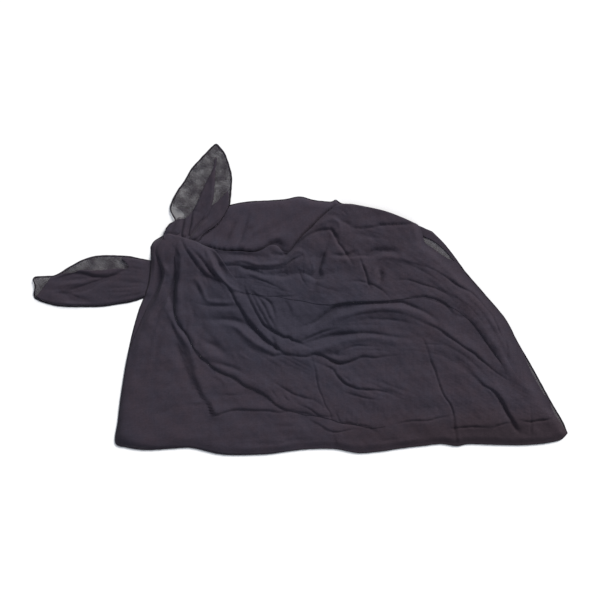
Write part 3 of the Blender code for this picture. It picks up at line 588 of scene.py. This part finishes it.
EAR_UP_CREASES = table(
    Crease,
    (((-187, 164), (-198, 154), (-207, 143), (-214, 133), (-221, 124)), 5, 3.2, 3, 5, 0.2, 1),
    (((-232, 164), (-234, 148), (-236, 138), (-238, 130)), 4.6, 3.2, 2.2, 4, 0.5, 1),
    (((-216, 168), (-218, 155), (-221, 141), (-224, 128)), 4.4, 3, 2.2, 4, 0.5, 1),
    (((-246, 160), (-252, 146), (-258, 134)), 2.6, 3, 1.6, 4, 0.4, 0.9),
    (((-148, 176), (-158, 162), (-172, 148), (-190, 133), (-206, 122)), 1, 2.4, 1.6, -5, 0.2, 0.8),
    (((-169, 280), (-173, 262), (-184, 243), (-192, 228), (-204, 197), (-210, 184)),
      0.6, 2.2, 1.4, 4, 0.2, 0.6),
    (((-166, 283), (-169, 259), (-172, 212), (-176, 190), (-186, 168)), 1.8, 3, 1.6, -4, 0.3, 0.8),
    (((-225, 196), (-217, 191), (-210, 186)), 0.8, 2.2, 0.8, 3, 0.4, 0.4),
    (((-242, 187), (-228, 183), (-211, 178)), 1.6, 3, 1.2, 4, 0.5, 0.6),
)
EAR_UP_FAMILIES = table(
    Family,
    (((-250, 184), (-226, 226), (-186, 284)), ((-214, 186), (-200, 220), (-174, 280)),
      6, 0.3, 2.6, 0.5, 5, 31),
    (((-170, 200), (-160, 226), (-160, 270)), ((-150, 214), (-146, 240), (-152, 280)),
      4, 0.25, 2.6, 0.4, 5, 32),
    (((-244, 140), (-232, 164), (-214, 192)), ((-196, 124), (-176, 150), (-156, 190)),
      6, 0.5, 2.4, 0.8, 5, 33),
)
EAR_LEFT_CREASES = table(
    Crease,
    (((-474, 46), (-458, 50), (-446, 53), (-426, 51), (-411, 47), (-391, 46), (-376, 48)),
      3.2, 4, 2.2, 6, 0.3, 0.3),
    (((-452, 22), (-440, 25), (-425, 29), (-414, 32), (-403, 36), (-391, 40), (-380, 44),
      (-366, 53), (-354, 58)), 3.2, 4.4, 1.8, 6, 0.5, 0.4),
    (((-470, 12), (-456, 8), (-442, 4)), 2, 5, 1.2, 7, 0.4, 0.4),
    (((-300, 30), (-322, 34), (-350, 32)), 0.6, 3, 0.6, 6, 0.8, 0.1),
    (((-302, 60), (-322, 62), (-344, 66)), 0.6, 3, 0.6, -5, 0.8, 0.1),
    (((-303, 18), (-330, 10), (-372, 4)), 0.5, 3, 0.5, -6, 0.8, 0.1),
    (((-412, -4), (-452, -4), (-492, 2)), 0.5, 3, 0.8, 6, 0.2, 0.2),
)
EAR_LEFT_FOLDS = table(
    Fold,
    (((-482, 39), (-458, 40), (-432, 39), (-408, 41)), -4, 10, 5, 0.4, 0.3),
    (((-466, 12), (-444, 17), (-422, 24), (-402, 34)), -4, 9, 5, 0.5, 0.3),
    (((-474, 31), (-450, 35), (-426, 38), (-408, 40)), 2.2, 4, 4, 0.3, 0.4),
    (((-470, 4), (-456, 0), (-440, 0)), -3, 8, 5, 0.4, 0.4),
)
EAR_LEFT_FAMILIES = table(
    Family,
    (((-304, 64), (-350, 74), (-410, 74)), ((-306, 20), (-350, 12), (-430, 8)),
      6, 0.3, 2.8, 0.4, 6, 41),
    (((-430, 44), (-470, 40), (-512, 30)), ((-430, 4), (-470, 2), (-512, 8)),
      4, 0.3, 2.8, 0.5, 6, 42),
)

SHEETS = (
    Sheet("back_panel_cloth", 0.52, 0.90, 0.342, "laid", (),
          ("hem_left", "hem_right", "hem_waist")),
    Sheet("back_panel_edge", 0.018, 0.48, 0.0078, "laid", (), ()),
    Sheet("back_panel_turn", 0.010, 0.12, 0.0010, "folded", ("back_panel_edge",), ()),
    Sheet("front_under_cloth", 0.44, 0.90, 0.122, "laid", ("back_panel_cloth",), ("hem_body",)),
    Sheet("front_outer_cloth", 0.40, 0.78, 0.168, "gathered",
          ("front_under_cloth", "back_panel_cloth"), ()),
    Sheet("front_swag_cloth", 0.30, 0.75, 0.081, "laid",
          ("front_outer_cloth", "back_panel_cloth"), ()),
    Sheet("ear_up_cloth", 0.14, 0.21, 0.0172, "folded", ("back_panel_cloth",), ("hem_ear_up",)),
    Sheet("ear_up_over", 0.13, 0.21, 0.0160, "folded", ("ear_up_cloth",), ()),
    Sheet("ear_up_fold", 0.08, 0.18, 0.0060, "folded", ("ear_up_over",), ()),
    Sheet("ear_up_flap", 0.06, 0.12, 0.0033, "folded", ("ear_up_fold",), ()),
    Sheet("ear_left_cloth", 0.10, 0.25, 0.0198, "folded", (), ("hem_ear_left",)),
    Sheet("ear_left_over", 0.10, 0.25, 0.0198, "folded", ("ear_left_cloth",), ()),
    Sheet("ear_left_wrap", 0.10, 0.24, 0.0158, "folded", ("ear_left_over",), ()),
)


def curve_along(points):
    """A function from fractions of a smooth plan curve's length to its points."""
    knots = np.array(points, dtype=float)
    knots = np.vstack([2 * knots[0] - knots[1], knots, 2 * knots[-1] - knots[-2]])
    step = np.linspace(0, 1, SMOOTH_STEPS, endpoint=False)[:, None]
    runs = []
    for before, start, stop, after in zip(knots, knots[1:], knots[2:], knots[3:]):
        linear = stop - before
        square = 2 * before - 5 * start + 4 * stop - after
        cubic = 3 * start - before - 3 * stop + after
        runs.append(0.5 * (2 * start + linear * step + square * step ** 2 + cubic * step ** 3))
    dense = np.vstack(runs + [knots[-2:-1]])
    length = np.append(0, np.cumsum(np.linalg.norm(np.diff(dense, axis=0), axis=1)))

    def at(fraction):
        reach = np.asarray(fraction) * length[-1]
        return np.column_stack([np.interp(reach, length, dense[:, axis]) for axis in (0, 1)])

    at.length = length[-1]
    return at


def beside(spots, path):
    """Each spot's distance from a curve, positive on its left, how far along the curve it lies,
    and how far past one of its ends."""
    curve = curve_along(path)
    runs = max(4, math.ceil(curve.length / RUN))
    line = curve(np.linspace(0, 1, runs + 1))
    run = np.diff(line, axis=0)
    size = np.linalg.norm(run, axis=1)
    away = spots[:, None, :] - line[None, :-1, :]
    reach = (away * run).sum(axis=2) / size ** 2
    along = np.clip(reach, 0, 1)
    distance = np.linalg.norm(away - along[:, :, None] * run, axis=2)
    nearest = distance.argmin(axis=1)
    row = np.arange(len(spots))
    reach, size, near = reach[row, nearest], size[nearest], away[row, nearest]
    across = (run[nearest, 0] * near[:, 1] - run[nearest, 1] * near[:, 0]) / size
    before = (nearest == 0) & (reach < 0)
    after = (nearest == runs - 1) & (reach > 1)
    past = size * np.where(before, -reach, np.where(after, reach - 1, 0))
    offset = np.where(before | after, across, np.sign(across) * distance[row, nearest])
    return offset, (nearest + along[row, nearest]) / runs, past


def in_reach(spots, path, reach):
    """The numbers of the spots that lie within reach of a path's box."""
    path = np.array(path)
    low, high = path.min(axis=0) - reach, path.max(axis=0) + reach
    return np.flatnonzero(((spots > low) & (spots < high)).all(axis=1))


def share_along(along, past, head, tail, spread):
    """How much of its height a fold has: all of it from three to seven tenths of its length, head
    and tail at its ends, and fading past them."""
    share = np.interp(along, (0, 0.3, 0.7, 1), (head, 1, 1, tail))
    return share * np.exp(-(past / (FADE * spread)) ** 2)


def folded(spots, folds):
    """The height that a table of soft folds gives the cloth at each spot."""
    height = np.zeros(len(spots))
    for fold in folds:
        widest = max(fold.left, fold.right)
        near = in_reach(spots, fold.path, SOFT_REACH * widest)
        if len(near) == 0:
            continue
        offset, along, past = beside(spots[near], fold.path)
        spread = np.where(offset > 0, fold.left, fold.right)
        share = share_along(along, past, fold.head, fold.tail, widest)
        height[near] += fold.height * share * np.exp(-(offset / spread) ** 2)
    return height


def creased(spots, creases):
    """The height that a table of sharp folds gives it."""
    height = np.zeros(len(spots))
    for crease in creases:
        near = in_reach(spots, crease.path, SHARP_REACH * abs(crease.reach))
        if len(near) == 0:
            continue
        offset, along, past = beside(spots[near], crease.path)
        share = share_along(along, past, crease.head, crease.tail, abs(crease.reach))
        side = np.maximum(offset / crease.reach, 0)
        lip = crease.lip * side * np.exp(1 - side)
        height[near] += share * (lip - crease.depth * np.exp(-(offset / crease.width) ** 2))
    return height


def members(families):
    """The sharp folds of each family, uneven in place, length and strength, and faint at both
    ends."""
    creases = []
    for family in families:
        draw = np.random.default_rng(family.seed)
        fractions = np.linspace(0, 1, GUIDE_POINTS)
        first, last = curve_along(family.first)(fractions), curve_along(family.last)(fractions)
        for index in range(family.count):
            start = (index + draw.uniform(0.1, 0.9)) / family.count
            stop = start + draw.uniform(-0.6, 0.6) / family.count
            mix = np.linspace(start, stop, GUIDE_POINTS)[:, None]
            path = first * (1 - mix) + last * mix
            path = path[draw.integers(0, 3):GUIDE_POINTS - draw.integers(0, 3)]
            strength = draw.uniform(0.4, 1.3)
            creases.append(Crease(path.tolist(), family.depth * strength,
                                  family.width * draw.uniform(0.8, 1.3), family.lip * strength,
                                  family.reach * draw.uniform(0.8, 1.4), 0.2, 0.2))
    return creases


def ramp(value, start, stop):
    """0 before start and 1 after stop, with a smooth rise between them."""
    share = np.clip((value - start) / (stop - start), 0, 1)
    return share * share * (3 - 2 * share)


def within(spots, region):
    """A ramp along X times one along Y."""
    return ramp(spots[:, 0], *region.x) * ramp(spots[:, 1], *region.y)


def inside(spots, path, start, stop):
    """A ramp to the left of a path, start to stop millimetres from it."""
    return ramp(beside(spots, path)[0], start, stop)


def over_knot(spots):
    """How far a wrap stands up to pass over the knot."""
    across = (spots - KNOT) / KNOT_RADII
    return WRAP_RISE * np.exp(-WRAP_SPREAD * (across ** 2).sum(axis=1))


def ripple(spots, seed, size, height, waves=9):
    """Soft uneven waves: a sum of sines with random directions, lengths and starts."""
    draw = np.random.default_rng(seed)
    total = np.zeros(len(spots))
    for _ in range(waves):
        turn = draw.uniform(0, 2 * math.pi)
        length = size * draw.uniform(0.6, 1.6)
        start = draw.uniform(0, 2 * math.pi)
        reach = spots @ np.array([math.cos(turn), math.sin(turn)])
        total += np.sin(2 * math.pi * reach / length + start)
    return height * total / math.sqrt(waves)


def rippled(spots, ripples):
    return sum(ripple(spots, *each) for each in ripples)


def wandering(spots, seed):
    """The spots moved a little, so that folds made from them wander."""
    return spots + np.column_stack([ripple(spots, seed, *WANDER), ripple(spots, seed + 1, *WANDER)])


def front_height(spots):
    """The form that all the front's stretches share, so that folds run on from one to the next."""
    moved = wandering(spots, 11)
    relief = folded(moved, FRONT_FOLDS) + creased(moved, FRONT_CREASES)
    relief += creased(moved, members(FRONT_FAMILIES))
    relief += rippled(spots, FRONT_RIPPLES)
    edge, _, _ = beside(spots, FRONT_OUTLINE)
    from_knot = np.linalg.norm(spots - KNOT, axis=1)
    width = FRONT_RIM + FRONT_RIM_GAIN * ramp(from_knot, *FROM_KNOT)
    width += RIGHT_RIM_GAIN * within(spots, RIGHT_CORNER)
    rim = ramp(edge / width, 0, 1)
    flat = FLATTENED * within(spots, KNOT_LEFT)
    wrap = over_knot(spots) * ramp(edge, *WRAP_EDGE)
    return UNDER_LEVEL + wrap + np.maximum((relief + PUFF) * rim * (1 - flat), LOWEST)


def lapped(spots, path, shown):
    """How far a stretch stands above the one it lies on: a step where its edge shows, and sunk
    into it elsewhere."""
    lap = SUNK + (LAP - SUNK) * shown
    width = SHOWN_LAP + HIDDEN_LAP * (1 - shown)
    return lap + (STEP - lap) * ramp(beside(spots, path)[0] / width, 0, 1)


def outer_height(spots):
    shown = within(spots, OUTER_SHOWN)
    return front_height(spots) + lapped(spots, OUTER_LEFT[::-1] + OUTER_HEM[1:], shown)


def swag_height(spots):
    right, left = (ramp(spots[:, 0], *places) for places in SWAG_SHOWN)
    shown = right * left
    return front_height(spots) + STEP + lapped(spots, SWAG_LEFT[::-1] + SWAG_HEM[1:], shown)


def knot_side(spots):
    """The knot's left side, and the back's edge where it passes over the left ear's root."""
    edge = BACK_WAIST[::-1] + LEFT_SIDE[::-1][1:]
    swell = SWELL * over_knot(spots) * inside(spots, edge, 0, SWELL_RIM)
    from_side, _, _ = beside(spots, LEFT_SIDE)
    below, above = (ramp(spots[:, 1], *places) for places in EAR_LEFT_ROOT)
    return swell + ROOT_LIFT * below * above * ramp(-from_side, *BESIDE_SIDE)


def back_height(spots):
    above_front = inside(spots, FRONT_WAIST, 0, BACK_STEP)
    below_waist = inside(spots, BACK_WAIST[::-1], 0, BACK_RIM)
    moved = wandering(spots, 21)
    relief = folded(moved, BACK_FOLDS) + creased(moved, BACK_CREASES)
    relief += creased(moved, members(BACK_FAMILIES))
    relief += BACK_PUFF + rippled(spots, BACK_RIPPLES)
    return FIRST_LEVEL + knot_side(spots) + np.maximum(relief, 0) * above_front * below_waist


def turn_height(spots):
    return back_height(spots) + TURN_RISE


def ear_up_height(level, share):
    """The height of one layer of the upper ear: level above the lowest, with a share of the
    folds."""
    def height(spots):
        climb = sum(rise * ramp(spots[:, 1], *places) for rise, *places in EAR_UP_CLIMBS)
        climb -= VALLEY * np.exp(-(beside(spots, KNOT_TOP)[0] / VALLEY_WIDTH) ** 2)
        relief = creased(spots, EAR_UP_CREASES) + creased(spots, members(EAR_UP_FAMILIES))
        relief += EAR_UP_PUFF + rippled(spots, EAR_UP_RIPPLES)
        rim = inside(spots, EAR_UP_LEFT[::-1], 0, EAR_UP_RIM)
        rim *= inside(spots, EAR_UP_RIGHT, 0, EAR_UP_RIM)
        tucked = inside(spots, KNOT_TOP, 0, TUCK)
        relief = np.maximum(relief * share, -EAR_SUNK * over_knot(spots)) * rim * (1 - tucked)
        return FIRST_LEVEL + level * (1 - tucked / 2) + climb + over_knot(spots) + relief
    return height


def ear_left_height(level, share):
    """The same for the left ear."""
    def height(spots):
        relief = creased(spots, EAR_LEFT_CREASES) + creased(spots, members(EAR_LEFT_FAMILIES))
        relief += folded(spots, EAR_LEFT_FOLDS)
        relief += EAR_LEFT_PUFF + rippled(spots, EAR_LEFT_RIPPLES)
        rim = inside(spots, EAR_LEFT_HEM, 0, EAR_LEFT_RIM)
        rim *= inside(spots, EAR_LEFT_TOP[::-1], 0, EAR_LEFT_RIM)
        rim *= ramp(spots[:, 0], *EAR_LEFT_START)
        return FIRST_LEVEL + level + np.maximum(relief * share, 0) * rim
    return height


def evened(net, rounds):
    """Moves a net's inner points until its lines bend evenly and none cross (Winslow's rule)."""
    for _ in range(rounds):
        du = (net[1:-1, 2:] - net[1:-1, :-2]) / 2
        dv = (net[2:, 1:-1] - net[:-2, 1:-1]) / 2
        twist = (net[2:, 2:] - net[2:, :-2] - net[:-2, 2:] + net[:-2, :-2]) / 4
        along_v = (dv ** 2).sum(axis=2, keepdims=True)
        along_u = (du ** 2).sum(axis=2, keepdims=True)
        mixed = (du * dv).sum(axis=2, keepdims=True)
        beside_u = net[1:-1, 2:] + net[1:-1, :-2]
        beside_v = net[2:, 1:-1] + net[:-2, 1:-1]
        moved = along_v * beside_u + along_u * beside_v - 2 * mixed * twist
        net[1:-1, 1:-1] = moved / (2 * (along_u + along_v))
    return net


def halved(net):
    """The net with a new line half way between each two."""
    rows, columns, _ = net.shape
    finer = np.empty((2 * rows - 1, 2 * columns - 1, 2))
    finer[::2, ::2] = net
    finer[1::2, ::2] = (net[1:] + net[:-1]) / 2
    finer[:, 1::2] = (finer[:, 2::2] + finer[:, :-2:2]) / 2
    return finer


def patch(sides, size):
    """A net of plan points between the four edges of a stretch, one row of points per line."""
    bottom, top, left, right = (curve_along(side) for side in sides)
    across = np.linspace(0, 1, size.columns + 1)
    up = np.linspace(0, 1, size.rows + 1)
    u, v = across[None, :, None], up[:, None, None]
    ruled = (1 - v) * bottom(across) + v * top(across)
    ruled = ruled + (1 - u) * left(up)[:, None] + u * right(up)[:, None]
    low = (1 - u) * bottom([0]) + u * bottom([1])
    high = (1 - u) * top([0]) + u * top([1])
    net = evened(ruled - (1 - v) * low - v * high, FIRST_ROUNDS)
    for _ in range(size.halvings):
        net = halved(net)
        across = np.linspace(0, 1, net.shape[1])
        up = np.linspace(0, 1, net.shape[0])
        net[0], net[-1] = bottom(across), top(across)
        net[:, 0], net[:, -1] = left(up), right(up)
        net = evened(net, LATER_ROUNDS)
    return net


def add_piece(name, points, faces, material):
    """A smooth mesh of points in millimetres, riding on the sarong's one body."""
    mesh = bpy.data.meshes.new(name)
    mesh.from_pydata((points * MM).tolist(), [], faces)
    mesh.shade_smooth()
    mesh.materials.append(material)
    piece = bpy.data.objects.new(name, mesh)
    bpy.context.scene.collection.objects.link(piece)
    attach(piece, BODY)
    return piece


def grid_faces(rows, columns):
    """The four-sided faces of a grid of points, rows by columns."""
    index = np.arange(rows * columns).reshape(rows, columns)
    corners = (index[:-1, :-1], index[:-1, 1:], index[1:, 1:], index[1:, :-1])
    return np.stack(corners, axis=-1).reshape(-1, 4).tolist()


def lay_cloth(name, sides, size, height, material):
    """A thin shell of cloth between four edges, at the height that a function gives."""
    net = patch(sides, size)
    spots = net.reshape(-1, 2)
    points = np.column_stack([spots, height(spots)])
    piece = add_piece(name, points, grid_faces(*net.shape[:2]), material)
    shell = piece.modifiers.new("shell", "SOLIDIFY")
    shell.thickness = SHELL * MM
    shell.offset = 1.0
    return piece


def roll_hem(name, path, height, material, width=2.2, thick=0.9):
    """A rolled hem: a tube flattened on the cloth, along its edge."""
    sides = 8
    curve = curve_along(path)
    count = math.ceil(curve.length / HEM_RING)
    line = curve(np.linspace(0, 1, count + 1))
    run = np.gradient(line, axis=0)
    run /= np.linalg.norm(run, axis=1)[:, None]
    out = np.column_stack([-run[:, 1], run[:, 0]])
    plump = 1 + ripple(line, *HEM_RIPPLE)
    turn = np.linspace(0, 2 * math.pi, sides, endpoint=False)
    across = np.outer(plump, np.cos(turn)) * width / 2
    rise = np.outer(plump, np.sin(turn)) * thick / 2
    ring = np.empty((count + 1, sides, 3))
    ring[:, :, :2] = line[:, None] + out[:, None] * across[:, :, None]
    middle = np.maximum(height(line) + SHELL / 2, HEM_CLEAR * thick)
    ring[:, :, 2] = middle[:, None] + rise
    index = np.arange((count + 1) * sides).reshape(count + 1, sides)
    after = np.roll(index, -1, axis=1)
    faces = np.stack([index[:-1], after[:-1], after[1:], index[1:]], axis=-1).reshape(-1, 4)
    caps = [index[0][::-1].tolist(), index[-1].tolist()]
    return add_piece(name, ring.reshape(-1, 3), faces.tolist() + caps, material)


def voile(name, grain, tone=1.0, opacity=None, patchy=0.10):
    """Matt charcoal voile: a plain weave with uneven threads, from plum to slate, with a painted
    bluish tint of shade in the middle, and darker along the right of the hem. Grain is the turn of
    its threads, and tone is how light it is beside the front. Opacity is that of one layer, give or
    take patchy."""
    material = bpy.data.materials.new(name)
    material.use_nodes = True
    nodes, links = material.node_tree.nodes, material.node_tree.links
    coords = nodes.new("ShaderNodeTexCoord").outputs["Object"]

    def fill_in(node, values):
        for socket, value in values.items():
            if isinstance(value, bpy.types.NodeSocket):
                links.new(value, node.inputs[socket])
            else:
                node.inputs[socket].default_value = value

    def add(kind, output, values, **settings):
        """One output of a new shader node, whose inputs are values or other nodes' outputs."""
        node = nodes.new("ShaderNode" + kind)
        for setting, value in settings.items():
            setattr(node, setting, value)
        fill_in(node, values)
        return node.outputs[output]

    def mapped(size, turn, middle=(0, 0, 0)):
        return add("Mapping", 0, {"Vector": coords, "Location": middle, "Rotation": (0, 0, turn),
                                  "Scale": size}, vector_type="TEXTURE")

    def noise(size, scale, detail=2.0):
        return add("TexNoise", "Fac", {"Vector": mapped(size, grain), "Scale": scale,
                                       "Detail": detail})

    def weave(direction):
        return add("TexWave", "Fac", {"Vector": mapped((1, 1, 1), grain), "Scale": THREADS,
                                      "Distortion": 0.6, "Detail Scale": 60},
                   bands_direction=direction)

    def glow(size, turn, middle):
        """1 in the middle of an oval and 0 outside it, in metres."""
        return add("TexGradient", "Fac", {"Vector": mapped(size, turn, middle)},
                   gradient_type="SPHERICAL")

    def work_out(kind, first, second):
        return add("Math", 0, {0: first, 1: second}, operation=kind)

    def spread(value, low, high):
        return add("MapRange", "Result", {"Value": value, "From Min": 0.3, "From Max": 0.7,
                                          "To Min": low, "To Max": high})

    threads = work_out("MULTIPLY", work_out("ADD", noise((1, 1 / 28, 1), 26),
                                            noise((1 / 28, 1, 1), 26)), 0.5)
    slubs = noise((1, 0.5, 1), 230, 1.0)
    clouds = work_out("MULTIPLY", work_out("ADD", noise((1, 1, 1), 14),
                                           noise((1, 1, 1), 75, 3.0)), 0.5)
    # A painted bluish tint of shade: an oval in the middle, where the folds lie in shade.
    middle = glow((0.30, 0.17, 1), -0.2, (-0.05, -0.03, 0))
    border = glow((0.42, 0.065, 1), 0.03, (0.40, -0.268, 0))
    hue = work_out("ADD", spread(clouds, 0.2, 0.8),
                   work_out("SUBTRACT", work_out("MULTIPLY", middle, 0.75),
                            work_out("MULTIPLY", border, 0.8)))
    tint = add("Mix", 2, {0: hue, 6: PLUM, 7: SLATE}, data_type="RGBA", clamp_factor=True)
    band = work_out("SUBTRACT", 1.0, work_out("MULTIPLY", border, BORDER_DARKER))
    uneven = work_out("MULTIPLY", spread(threads, 0.90 * tone, 1.10 * tone),
                      spread(slubs, 0.90, 1.10))
    colour = add("VectorMath", 0, {0: tint, "Scale": work_out("MULTIPLY", uneven, band)},
                 operation="SCALE")
    cells = work_out("MULTIPLY", weave("X"), weave("Y"))
    relief = work_out("ADD", work_out("MULTIPLY", cells, 0.5), threads)
    bump = add("Bump", "Normal", {"Strength": 0.35, "Distance": 0.0006, "Height": relief})
    fill_in(nodes["Principled BSDF"], {
        "Base Color": colour, "Normal": bump, "Roughness": 0.85, "Specular IOR Level": 0.2,
        "Sheen Weight": 0.05, "Sheen Roughness": 0.5})
    if opacity:
        alpha = spread(noise((1, 0.6, 1), 52, 5.0), opacity - patchy, opacity + patchy)
        fill_in(nodes["Principled BSDF"], {"Alpha": alpha})
    return material


def add_surroundings():
    """The pale floor, the studio light and the camera."""
    size = 40.0
    mesh = bpy.data.meshes.new("floor")
    corners = [(x * size, y * size, 0) for x, y in ((-1, -1), (1, -1), (1, 1), (-1, 1))]
    mesh.from_pydata(corners, [], [(0, 1, 2, 3)])
    floor = bpy.data.objects.new("floor", mesh)
    paint = bpy.data.materials.new("pale_floor")
    paint.use_nodes = True
    shader = paint.node_tree.nodes["Principled BSDF"]
    shader.inputs["Base Color"].default_value = (0.9, 0.9, 0.9, 1)
    shader.inputs["Roughness"].default_value = 1.0
    shader.inputs["Specular IOR Level"].default_value = 0.0
    mesh.materials.append(paint)
    bpy.context.scene.collection.objects.link(floor)

    world = bpy.data.worlds.new("studio")
    world.use_nodes = True
    world.node_tree.nodes["Background"].inputs["Color"].default_value = (0.86, 0.91, 1.0, 1)
    world.node_tree.nodes["Background"].inputs["Strength"].default_value = 0.54
    bpy.context.scene.world = world

    lamp = bpy.data.lights.new("key", "SUN")
    lamp.angle = math.radians(24)
    lamp.energy = 4.6
    lamp.color = (1.0, 0.965, 0.93)
    key = bpy.data.objects.new("key", lamp)
    key.rotation_euler = (math.radians(61), 0, math.radians(142))
    bpy.context.scene.collection.objects.link(key)

    lens = bpy.data.cameras.new("camera")
    lens.lens = 75
    lens.sensor_width = 36
    camera = bpy.data.objects.new("camera", lens)
    camera.location = (0, 0, 2.5)
    bpy.context.scene.collection.objects.link(camera)
    bpy.context.scene.camera = camera
    bpy.context.scene.view_settings.view_transform = "Standard"


def dress():
    """Lays the cloth shells and hems on the frame."""
    dense = voile("voile_front", 0.06)
    dense_back = voile("voile_back", 0.12, tone=1.08)
    dense_flap = voile("voile_fold", 0.7, tone=0.96)
    sheer = voile("voile_sheer_back", 0.9, opacity=0.48, patchy=0.04)
    sheer_up = voile("voile_sheer_ear_up", -0.4, opacity=0.31)
    sheer_left = voile("voile_sheer_ear_left", 2.6, opacity=0.31)
    hem = voile("voile_hem", 0.3, tone=0.45)

    back = lay_cloth("back_panel_cloth",
                     Sides(HEM[:-1], BACK_WAIST[:-1], LEFT_SIDE, BACK_RIGHT),
                     Net(30, 15, 3), back_height, dense_back)
    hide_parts("back_panel")
    lay_cloth("back_panel_edge",
              Sides((HEM[-2], HEM[-1]), BACK_WAIST[-2:], BACK_RIGHT, RIGHT_SIDE),
              Net(2, 40, 2), back_height, sheer)
    lay_cloth("back_panel_turn",
              Sides((TURN_INNER[-1], TURN_OUTER[-1]), (TURN_INNER[0], TURN_OUTER[0]),
                    TURN_INNER[::-1], TURN_OUTER[::-1]),
              Net(2, 10, 2), turn_height, dense)
    under = lay_cloth("front_under_cloth",
                      Sides(UNDER_SIDE + HEM, UNDER_TOP, UNDER_KNOT, UNDER_RIGHT),
                      Net(52, 6, 3), front_height, dense)
    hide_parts("front_under", "knot_core")
    outer = lay_cloth("front_outer_cloth", Sides(OUTER_HEM, OUTER_TOP, OUTER_LEFT, OUTER_RIGHT),
                      Net(34, 20, 3), outer_height, dense)
    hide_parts("front_outer")
    swag = lay_cloth("front_swag_cloth", Sides(SWAG_HEM, SWAG_TOP, SWAG_LEFT, SWAG_RIGHT),
                     Net(34, 12, 3), swag_height, dense)
    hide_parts("front_swag")

    ear = lay_cloth("ear_up_cloth", Sides(EAR_UP_BASE, EAR_UP_TIP, EAR_UP_LEFT, EAR_UP_RIGHT),
                    Net(9, 12, 3), ear_up_height(0, 0.8), sheer_up)
    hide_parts("ear_up")
    lay_cloth("ear_up_over", Sides(EAR_OVER_BASE, EAR_OVER_TIP, EAR_OVER_LEFT, EAR_OVER_RIGHT),
              Net(9, 12, 3), ear_up_height(EAR_LAYER, 0.85), sheer_up)
    lay_cloth("ear_up_fold", Sides(EAR_FOLD_BASE, EAR_FOLD_TIP, EAR_FOLD_LEFT, EAR_FOLD_RIGHT),
              Net(6, 12, 3), ear_up_height(2 * EAR_LAYER, 0.9), dense_flap)
    lay_cloth("ear_up_flap", Sides(EAR_FLAP_BASE, EAR_FLAP_TOP, EAR_FLAP_LEFT, EAR_FLAP_RIGHT),
              Net(6, 8, 3), ear_up_height(3 * EAR_LAYER, 1.0), dense_flap)
    left = lay_cloth("ear_left_cloth",
                     Sides(EAR_LEFT_HEM, EAR_LEFT_TOP, EAR_LEFT_TIP, EAR_LEFT_BASE),
                     Net(16, 7, 3), ear_left_height(0, 0.8), sheer_left)
    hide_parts("ear_left")
    lay_cloth("ear_left_over", Sides(EAR_LEFT_HEM, EAR_LEFT_TOP, EAR_LEFT_TIP, EAR_LEFT_BASE),
              Net(16, 7, 3), ear_left_height(EAR_LAYER, 0.9), sheer_left)
    lay_cloth("ear_left_wrap", Sides(EAR_WRAP_HEM, EAR_WRAP_TOP, EAR_WRAP_TIP, EAR_WRAP_BASE),
              Net(16, 7, 3), ear_left_height(2 * EAR_LAYER, 1.0), dense_flap)

    roll_hem("hem_body", HEM, front_height, hem)
    roll_hem("hem_left", LEFT_SIDE, back_height, hem)
    roll_hem("hem_right", RIGHT_SIDE, back_height, hem)
    roll_hem("hem_waist", BACK_WAIST, back_height, hem)
    roll_hem("hem_ear_up", EAR_UP_LEFT[2:] + EAR_UP_TIP[1:-1] + EAR_UP_RIGHT[7:][::-1],
             ear_up_height(EAR_HEM, 0.8), hem, width=3.0, thick=1.2)
    roll_hem("hem_ear_left", EAR_LEFT_HEM[::-1] + EAR_LEFT_TIP[1:-1] + EAR_LEFT_TOP,
             ear_left_height(EAR_HEM, 0.8), hem, width=2.8, thick=1.2)


def declare_sheets():
    """Looks up each stretch's hems among the pieces; its cut sizes are not passed on."""
    pieces = bpy.data.objects
    for sheet in SHEETS:
        list(sheet.rests_on)
        [pieces[name] for name in sheet.hems]


dress()
declare_sheets()
add_surroundings()
